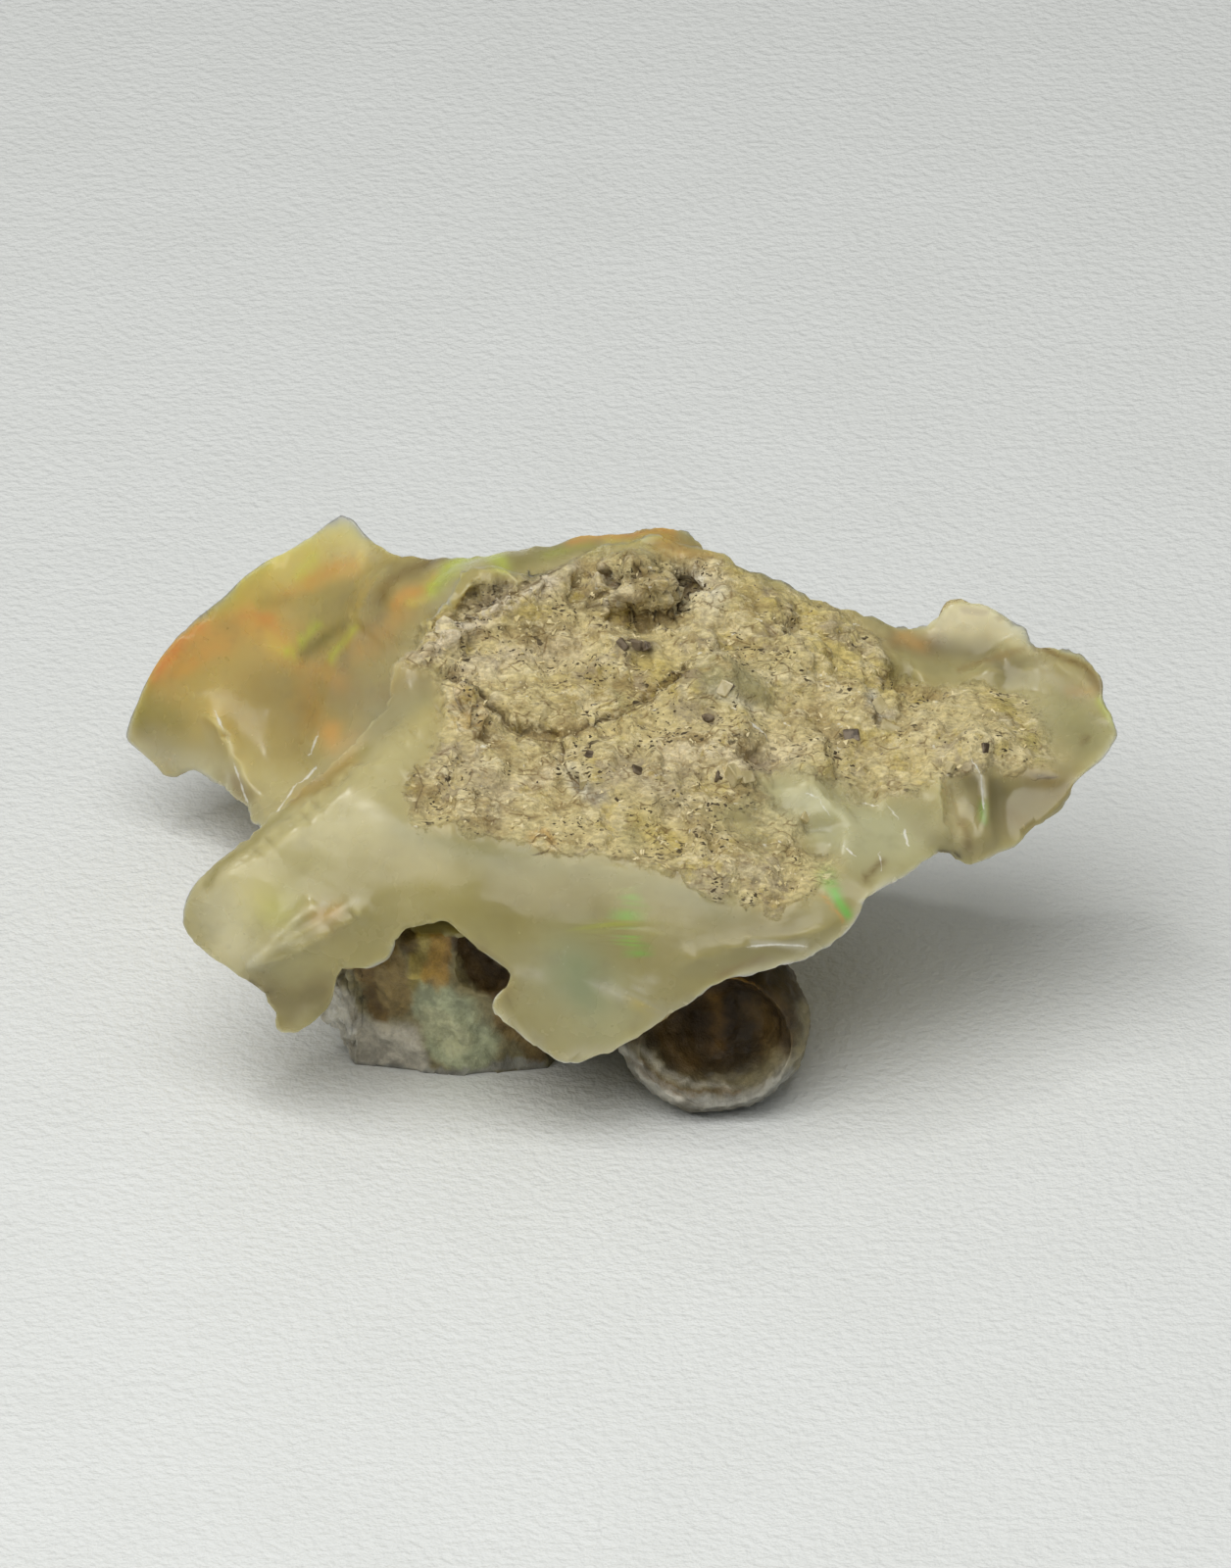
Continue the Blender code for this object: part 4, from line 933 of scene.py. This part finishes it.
# Noise in the finishes: its size in millimetres, its layers, the noise that it goes from and to, what it
# gives at those, and how rough it is where that is set
CLOUDS = [
    (CREAM, (2.5, 3, 0.35, 0.7, 0.0, 0.25)),
    (SMOKE, (1.2, 3, 0.5, 0.75, 0.0, 0.2)),
]
FAR_CLOUDS = [
    (AMBER, (3.4, 5, 0.48, 0.64, 0.0, 0.6, 0.65)),
    (MINT, (2.6, 5, 0.55, 0.71, 0.0, 0.5, 0.65)),
    (TAN_BROWN, (1.6, 5, 0.56, 0.72, 0.0, 0.6, 0.65)),
    (BROWN, (0.5, 5, 0.6, 0.76, 0.0, 0.5, 0.65)),
]
# The crust's blotches, which also say whether they run with its streaks
BLOTCHES = [
    (TAN_BROWN, True, (1.5, 6, 0.5, 0.6, 0.0, 0.55, 0.7)),
    (ROCK_VIOLET, False, (2.2, 6, 0.53, 0.63, 0.0, 0.5, 0.7)),
    (OCHRE, False, (1.3, 6, 0.55, 0.65, 0.0, 0.55, 0.7)),
    (TAN_PALE, True, (0.8, 6, 0.53, 0.63, 0.0, 0.75, 0.7)),
    (TAN_BROWN, True, (0.45, 6, 0.55, 0.65, 0.0, 0.55, 0.7)),
    (TAN_PALE, True, (0.3, 6, 0.56, 0.66, 0.0, 0.6, 0.7)),
]
CRUST_SHADES = (0.13, 3, 0.3, 0.7, 0.72, 1.14)
CREASE_SHADE_CROWD = (0.8, 3, 0.5, 0.58, 0.0, 0.7)
SPECK_CROWD = (1.7, 2, 0.45, 0.6, 0.0, 1.0)
DARK_SPECKS = [(0.12, 1, 0.63, 0.66), (0.2, 1, 0.67, 0.7), (0.34, 1, 0.7, 0.73)]
PALE_SPECKS = (0.25, 2, 0.3, 0.25, 0.0, 0.7)
ROCK_SHADES = (0.7, 6, 0.35, 0.65, 0.7, 1.25, 0.7)
OPAL_GLOSS = (1.5, 3, 0.3, 0.7, 0.16, 0.34)
MINERAL_PATCHES = (0.4, 3, 0.4, 0.6)
# Painted shade in the creases between the crust's grains: the grains' size, and the creases' width against
# it
CREASE_SHADE = (0.5, 0.06)
# How the crust breaks up along its edge: the noise's middle, size, layers and roughness, its strength, and
# the crust that the break starts and ends at
NOISE_MIDDLE = 0.5
BREAKUP = (0.7, 6, 0.7)
BREAKUP_STRENGTH = 1.8
BREAKUP_FADE = (0.3, 0.7)
# How stony the rock below is, how matt stone is, and how milky opal and stone are
ROCK_STONY = 0.6
STONE_MATT = 0.55
MILK = (1.0, 0.25)
# How far light of each colour spreads in the milk, against the spread in millimetres, and the opal's IOR
MILK_SPREADS = (1.0, 0.95, 0.85)
MILK_SPREAD = 0.7
OPAL_IOR = 1.44
# The finest relief: the sizes and layers of its noise, its share on opal and on stone, strength and height
GRIT = ((0.1, 2), (0.3, 4))
GRIT_SHARES = (0.02, 1.0)
GRIT_STRENGTH = 0.8
GRIT_HEIGHT = 0.07
# The paper: its size in metres, how broad its shades are in millimetres, its roughness, and its grain's
# size, layers, strength and height
PAPER_SIZE = 3.0
PAPER_SHADES = 6.0
PAPER_ROUGHNESS = 0.42
PAPER_GRAIN = (0.36, 2)
PAPER_GRAIN_STRENGTH = 0.4
PAPER_GRAIN_HEIGHT = 0.3


def add(tree, kind, inputs=None, **settings):
    """A new node with its settings made and its inputs set or linked."""
    node = tree.nodes.new(kind)
    for name, value in settings.items():
        setattr(node, name, value)
    for name, value in (inputs or {}).items():
        if isinstance(value, bpy.types.NodeSocket):
            tree.links.new(value, node.inputs[name])
        else:
            node.inputs[name].default_value = value
    return node


def mix(tree, factor, below, above, blend="MIX"):
    """Two colours mixed."""
    node = add(tree, "ShaderNodeMix", {0: factor}, data_type="RGBA", blend_type=blend)
    for place, value in ((MIX_A, below), (MIX_B, above)):
        if isinstance(value, bpy.types.NodeSocket):
            tree.links.new(value, node.inputs[place])
        else:
            node.inputs[place].default_value = (*to_linear(value), 1)
    return node.outputs[MIX_OUT]


def calculate(tree, operation, first, second=0.0, clamp=False):
    """The result of a sum on one or two numbers."""
    node = add(tree, "ShaderNodeMath", {0: first, 1: second}, operation=operation, use_clamp=clamp)
    return node.outputs[0]


def between(tree, value, low, high, out_low=0.0, out_high=1.0):
    """A number that goes from out_low to out_high as the value goes from low to high."""
    inputs = {"Value": value, "From Min": low, "From Max": high, "To Min": out_low, "To Max": out_high}
    return add(tree, "ShaderNodeMapRange", inputs, interpolation_type="SMOOTHSTEP").outputs["Result"]


def noise_at(tree, coordinates, size, detail=3.0, roughness=0.6):
    """Noise with features of that size in millimetres."""
    inputs = {"Vector": coordinates, "Scale": 1 / (size * MM), "Detail": detail, "Roughness": roughness}
    return add(tree, "ShaderNodeTexNoise", inputs).outputs["Fac"]


def creases_at(tree, coordinates, size, width):
    """Thin lines between cells of that size, of that width against the cell."""
    inputs = {"Vector": coordinates, "Scale": 1 / (size * MM)}
    cells = add(tree, "ShaderNodeTexVoronoi", inputs, feature="DISTANCE_TO_EDGE")
    return between(tree, cells.outputs["Distance"], width, 0.0)


def patches_at(tree, coordinates, size, layers, low, high, least=0.0, most=1.0, roughness=0.6):
    """Patches of noise: the least where it is low, the most where it is high."""
    return between(tree, noise_at(tree, coordinates, size, layers, roughness), low, high, least, most)


def kept_at(tree, name, output="Fac"):
    """What the surface keeps under a name."""
    return add(tree, "ShaderNodeAttribute", attribute_name=name).outputs[output]


def shaded(tree, colour, shade):
    """A colour made darker or paler."""
    grey = add(tree, "ShaderNodeCombineColor", {0: shade, 1: shade, 2: shade}).outputs[0]
    return mix(tree, 1.0, colour, grey, "MULTIPLY")


def line_at(tree, place, name, width):
    """Where the surface lies within a crisp, slightly ragged line."""
    ragged = calculate(tree, "SUBTRACT", noise_at(tree, place, LINE_RAGGED_SIZE), NOISE_MIDDLE)
    ragged = calculate(tree, "MULTIPLY", ragged, LINE_RAGGED)
    reach = calculate(tree, "ADD", calculate(tree, "ABSOLUTE", kept_at(tree, name)), ragged)
    share = between(tree, kept_at(tree, name + "_share"), *LINE_FADE)
    return calculate(tree, "MULTIPLY", between(tree, reach, width, 0.0), share)


def opal_colour(tree, place, tint):
    """Opal: faint clouds in its body, and stained patches on the far side."""
    colour = tint
    for cloud_colour, cloud in CLOUDS:
        colour = mix(tree, patches_at(tree, place, *cloud), colour, cloud_colour)
    far = kept_at(tree, "far")
    for cloud_colour, cloud in FAR_CLOUDS:
        share = calculate(tree, "MULTIPLY", patches_at(tree, place, *cloud), far)
        colour = mix(tree, share, colour, cloud_colour)
    return colour


def crust_colour(tree, place, tint):
    """Crust: streaks and blotches, painted shade in the creases between its grains, and dark and pale
    specks.
    """
    flow_inputs = {"Vector": place, "Rotation": (0, 0, FLOW_TURN), "Scale": FLOW_STRETCH}
    flow = add(tree, "ShaderNodeMapping", flow_inputs).outputs["Vector"]
    colour = tint
    for blotch_colour, flows, blotch in BLOTCHES:
        colour = mix(tree, patches_at(tree, flow if flows else place, *blotch), colour, blotch_colour)
    colour = shaded(tree, colour, patches_at(tree, flow, *CRUST_SHADES))
    # painted shade in the creases between the grains
    crowd = patches_at(tree, place, *CREASE_SHADE_CROWD)
    creases = calculate(tree, "MULTIPLY", creases_at(tree, flow, *CREASE_SHADE), crowd)
    colour = mix(tree, creases, colour, BROWN)
    crowd = patches_at(tree, place, *SPECK_CROWD)
    for speck in DARK_SPECKS:
        share = calculate(tree, "MULTIPLY", patches_at(tree, flow, *speck), crowd)
        colour = mix(tree, share, colour, SPECK)
    return mix(tree, patches_at(tree, flow, *PALE_SPECKS), colour, WHITISH)


def opal_material():
    """Milky opal that turns to speckled rock where the crust is."""
    material = bpy.data.materials.new("opal and crust")
    material.use_nodes = True
    tree = material.node_tree
    shader = tree.nodes["Principled BSDF"]
    place = add(tree, "ShaderNodeTexCoord").outputs["Object"]
    tint = kept_at(tree, "tint", "Color")
    rock = kept_at(tree, "rock")

    # the crust breaks up into grains along its edge
    breakup = calculate(tree, "SUBTRACT", noise_at(tree, place, *BREAKUP), NOISE_MIDDLE)
    breakup = calculate(tree, "MULTIPLY", breakup, BREAKUP_STRENGTH)
    crust = between(tree, calculate(tree, "ADD", kept_at(tree, "crust"), breakup), *BREAKUP_FADE)

    # opal, then crust, then the rock below, then the dark lines, some painted shadow, and the painted
    # glints
    base = mix(tree, crust, opal_colour(tree, place, tint), crust_colour(tree, place, tint))
    base = mix(tree, rock, base, shaded(tree, tint, patches_at(tree, place, *ROCK_SHADES)))
    for name, width, strength, colour in (
            ("dark_and_shadow_line", DARK_LINE_WIDTH, DARK_LINE_STRENGTH, UMBER),
            ("painted_glint", PAINTED_GLINT_WIDTH, PAINTED_GLINT_STRENGTH, GLINT_WHITE)):
        line = line_at(tree, place, name, width)
        base = mix(tree, calculate(tree, "MULTIPLY", line, strength), base, colour)
    tree.links.new(base, shader.inputs["Base Color"])

    # stone is matt; opal is glossy, milky and partly clear
    stony = calculate(tree, "MAXIMUM", crust, calculate(tree, "MULTIPLY", rock, ROCK_STONY))
    matt = calculate(tree, "MULTIPLY", stony, STONE_MATT)
    roughness = calculate(tree, "ADD", patches_at(tree, place, *OPAL_GLOSS), matt, clamp=True)
    tree.links.new(roughness, shader.inputs["Roughness"])
    tree.links.new(between(tree, stony, 0.0, 1.0, *MILK), shader.inputs["Subsurface Weight"])
    clear = calculate(tree, "MULTIPLY", kept_at(tree, "clear"), calculate(tree, "SUBTRACT", 1.0, stony))
    tree.links.new(clear, shader.inputs["Transmission Weight"])
    shader.inputs["Subsurface Radius"].default_value = MILK_SPREADS
    shader.inputs["Subsurface Scale"].default_value = MILK_SPREAD * MM
    shader.inputs["IOR"].default_value = OPAL_IOR

    coarse, fine = [noise_at(tree, place, *grit) for grit in GRIT]
    grit_share = between(tree, stony, 0.0, 1.0, *GRIT_SHARES)
    height = calculate(tree, "MULTIPLY", calculate(tree, "ADD", coarse, fine), grit_share)
    bump_inputs = {"Height": height, "Strength": GRIT_STRENGTH, "Distance": GRIT_HEIGHT * MM}
    tree.links.new(add(tree, "ShaderNodeBump", bump_inputs).outputs[0], shader.inputs["Normal"])
    return material


def crust_faces(stone):
    """The middles, normals and places on the sheet of the faces that lie on the crust and face the eye."""
    mesh = stone.data
    middles = np.empty(len(mesh.polygons) * 3)
    normals = np.empty(len(mesh.polygons) * 3)
    mesh.polygons.foreach_get("center", middles)
    mesh.polygons.foreach_get("normal", normals)
    middles, normals = middles.reshape(-1, 3) / MM, normals.reshape(-1, 3)
    layer = np.empty(len(mesh.vertices), np.float32)
    mesh.attributes["crust"].data.foreach_get("value", layer)
    first_corners = np.empty(len(mesh.polygons), np.int32)
    mesh.polygons.foreach_get("loop_start", first_corners)
    corners = np.empty(len(mesh.loops), np.int32)
    mesh.loops.foreach_get("vertex_index", corners)
    facing = normals @ TOWARDS_EYE > FACING_ENOUGH
    kept = facing & (layer[corners[first_corners]] > CRUST_ENOUGH)
    points, _ = on_sheet(middles)
    return middles[facing], normals[facing], points[facing], kept[facing]


def chip_of(kind):
    """One small piece, a millimetre across: a broken grain, or a crystal with flat faces."""
    bpy.ops.object.select_all(action="DESELECT")
    if kind == "crystal":
        bpy.ops.mesh.primitive_cube_add(size=CUBE_SIZE * MM)
    else:
        radius, height = CONE_RADIUS * MM, CONE_HEIGHT * MM
        bpy.ops.mesh.primitive_cone_add(vertices=CONE_SIDES, radius1=radius, depth=height)
    chip = bpy.context.object
    bpy.ops.object.mode_set(mode="EDIT")
    bpy.ops.mesh.select_all(action="SELECT")
    bpy.ops.transform.vertex_random(offset=CORNER_MOVE * MM, seed=GRAIN_SEED)
    if kind == "crystal":
        bpy.ops.mesh.bevel(offset=CUBE_BEVEL * MM, segments=1)
    bpy.ops.mesh.normals_make_consistent(inside=False)
    bpy.ops.object.mode_set(mode="OBJECT")
    return chip


def scatter(name, kind, spots, material):
    """Copies of one small piece, each at a place with a size and a turn, joined as one piece."""
    chip = chip_of(kind)
    copies = []
    for place, normal, size, turn in spots:
        piece = chip.copy()
        piece.data = chip.data.copy()
        bpy.context.collection.objects.link(piece)
        lean = Vector(normal).to_track_quat("Z", "Y").to_matrix().to_4x4()
        turned = lean @ Matrix.Rotation(turn, 4, "Z") @ Matrix.Diagonal((*size, 1.0))
        piece.matrix_world = Matrix.Translation(Vector(place) * MM) @ turned
        copies.append(piece)
    bpy.data.objects.remove(chip)
    bpy.ops.object.select_all(action="DESELECT")
    for piece in copies:
        piece.select_set(True)
    bpy.context.view_layer.objects.active = copies[0]
    bpy.ops.object.join()
    joined = bpy.context.object
    bpy.ops.object.transform_apply(location=True, rotation=True, scale=True)
    joined.name = name
    joined.data.name = name
    joined.data.materials.clear()
    joined.data.materials.append(material)
    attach(joined, "root")


def grain_material(name, colour, other_colour, roughness, clearness):
    """The finish of the small grains: two colours in patches, matt or clear."""
    material = bpy.data.materials.new(name)
    material.use_nodes = True
    tree = material.node_tree
    shader = tree.nodes["Principled BSDF"]
    place = add(tree, "ShaderNodeTexCoord").outputs["Object"]
    patches = patches_at(tree, place, *MINERAL_PATCHES)
    tree.links.new(mix(tree, patches, colour, other_colour), shader.inputs["Base Color"])
    shader.inputs["Roughness"].default_value = roughness
    shader.inputs["Transmission Weight"].default_value = clearness
    shader.inputs["IOR"].default_value = MINERAL_IOR
    return material


def add_grains(stone):
    """The crystals that stand in the crust, and the loose grains all over it."""
    middles, normals, points, kept = crust_faces(stone)
    chance = np.random.default_rng(GRAIN_SEED)
    crystals = {"dark": [], "clear": []}
    for kind, across, up, length, width in CRYSTALS:
        nearest = int(np.argmin(np.linalg.norm(points - (across, up), axis=1)))
        size = (length, width, CRYSTAL_HEIGHT * width)
        sunk = middles[nearest] - normals[nearest] * CRYSTAL_SUNK * width
        leaning = normals[nearest] + chance.uniform(-CRYSTAL_LEAN, CRYSTAL_LEAN, 3)
        crystals[kind].append((sunk, leaning, size, chance.uniform(0, math.pi)))
    on_crust = np.flatnonzero(kept)
    grains = {"dark": [], "clear": [], "pale": []}
    for kind, count, smallest, largest in GRAINS:
        for chosen in chance.choice(on_crust, count):
            size = chance.uniform(smallest, largest)
            sizes = (size, size * chance.uniform(*GRAIN_WIDTHS), size * chance.uniform(*GRAIN_HEIGHTS))
            leaning = normals[chosen] + chance.uniform(-GRAIN_LEAN, GRAIN_LEAN, 3)
            grains[kind].append((middles[chosen], leaning, sizes, chance.uniform(0, math.tau)))
    finishes = {kind: grain_material(*finish) for kind, finish in MINERALS.items()}
    for kind, spots in crystals.items():
        scatter(kind + "_crystals", "crystal", spots, finishes[kind])
    for kind, spots in grains.items():
        scatter(kind + "_grains", "grain", spots, finishes[kind])


def make_floor():
    """The sheet of white paper that the stone stands on."""
    bpy.ops.mesh.primitive_plane_add(size=PAPER_SIZE, location=(0, 0, 0))
    floor = bpy.context.object
    floor.name = "paper"
    material = bpy.data.materials.new("white paper")
    material.use_nodes = True
    tree = material.node_tree
    shader = tree.nodes["Principled BSDF"]
    place = add(tree, "ShaderNodeTexCoord").outputs["Object"]
    shade = mix(tree, noise_at(tree, place, PAPER_SHADES), PAPER, PAPER_PALE)
    tree.links.new(shade, shader.inputs["Base Color"])
    shader.inputs["Roughness"].default_value = PAPER_ROUGHNESS
    bump_inputs = {"Height": noise_at(tree, place, *PAPER_GRAIN), "Strength": PAPER_GRAIN_STRENGTH,
                   "Distance": PAPER_GRAIN_HEIGHT * MM}
    tree.links.new(add(tree, "ShaderNodeBump", bump_inputs).outputs[0], shader.inputs["Normal"])
    floor.data.materials.append(material)


def make_light(name, place, aim, size, power, colour):
    """A soft square light that shines towards a point."""
    lamp = bpy.data.lights.new(name, "AREA")
    lamp.size = size * MM
    lamp.energy = power
    lamp.color = colour
    light = bpy.data.objects.new(name, lamp)
    bpy.context.collection.objects.link(light)
    light.location = Vector(place) * MM
    light.rotation_euler = (Vector(aim) - Vector(place)).to_track_quat("-Z", "Y").to_euler()


def light_the_studio():
    """A broad soft light high in front, a small lamp that gives glints, and air that is paler overhead."""
    make_light("soft box", *SOFT_BOX)
    make_light("lamp", *LAMP)
    world = bpy.data.worlds.new("studio air")
    world.use_nodes = True
    tree = world.node_tree
    air = tree.nodes["Background"]
    air.inputs["Color"].default_value = AIR_COLOUR
    direction = add(tree, "ShaderNodeTexCoord").outputs["Generated"]
    height = add(tree, "ShaderNodeSeparateXYZ", {0: direction}).outputs["Z"]
    tree.links.new(between(tree, height, 0.0, AIR_TOP, *AIR_STRENGTH), air.inputs["Strength"])
    bpy.context.scene.world = world
    bpy.context.scene.view_settings.view_transform = "Standard"


def place_camera():
    """The camera at the picture's angle, far enough away to see the stone without distortion."""
    camera = bpy.data.objects.new("camera", bpy.data.cameras.new("camera"))
    bpy.context.collection.objects.link(camera)
    camera.data.sensor_width = SENSOR
    camera.data.lens = SENSOR * EYE_DISTANCE / PICTURE_HEIGHT
    across, up = PICTURE_MIDDLE
    foot_back = cad_low.y / MM - FRONT_LIP_BACK
    middle = Vector((across, foot_back + up * math.sin(TILT), up * math.cos(TILT)))
    camera.location = (middle + Vector(TOWARDS_EYE) * EYE_DISTANCE) * MM
    camera.rotation_euler = (math.pi / 2 - TILT, 0, 0)
    camera.data.clip_start = SEEN_FROM * MM
    camera.data.clip_end = SEEN_TO * MM
    bpy.context.scene.camera = camera


noise.seed_set(WANDER_SEED)
stone = fine_copy(frame["nodes"]["rough_opal"])
stone.name = "opal_stone"
dress_stone(stone)
stone.data.materials.clear()
stone.data.materials.append(opal_material())
del stone["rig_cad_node"]
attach(stone, "root")
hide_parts("rough_opal")
add_grains(stone)
make_floor()
light_the_studio()
place_camera()
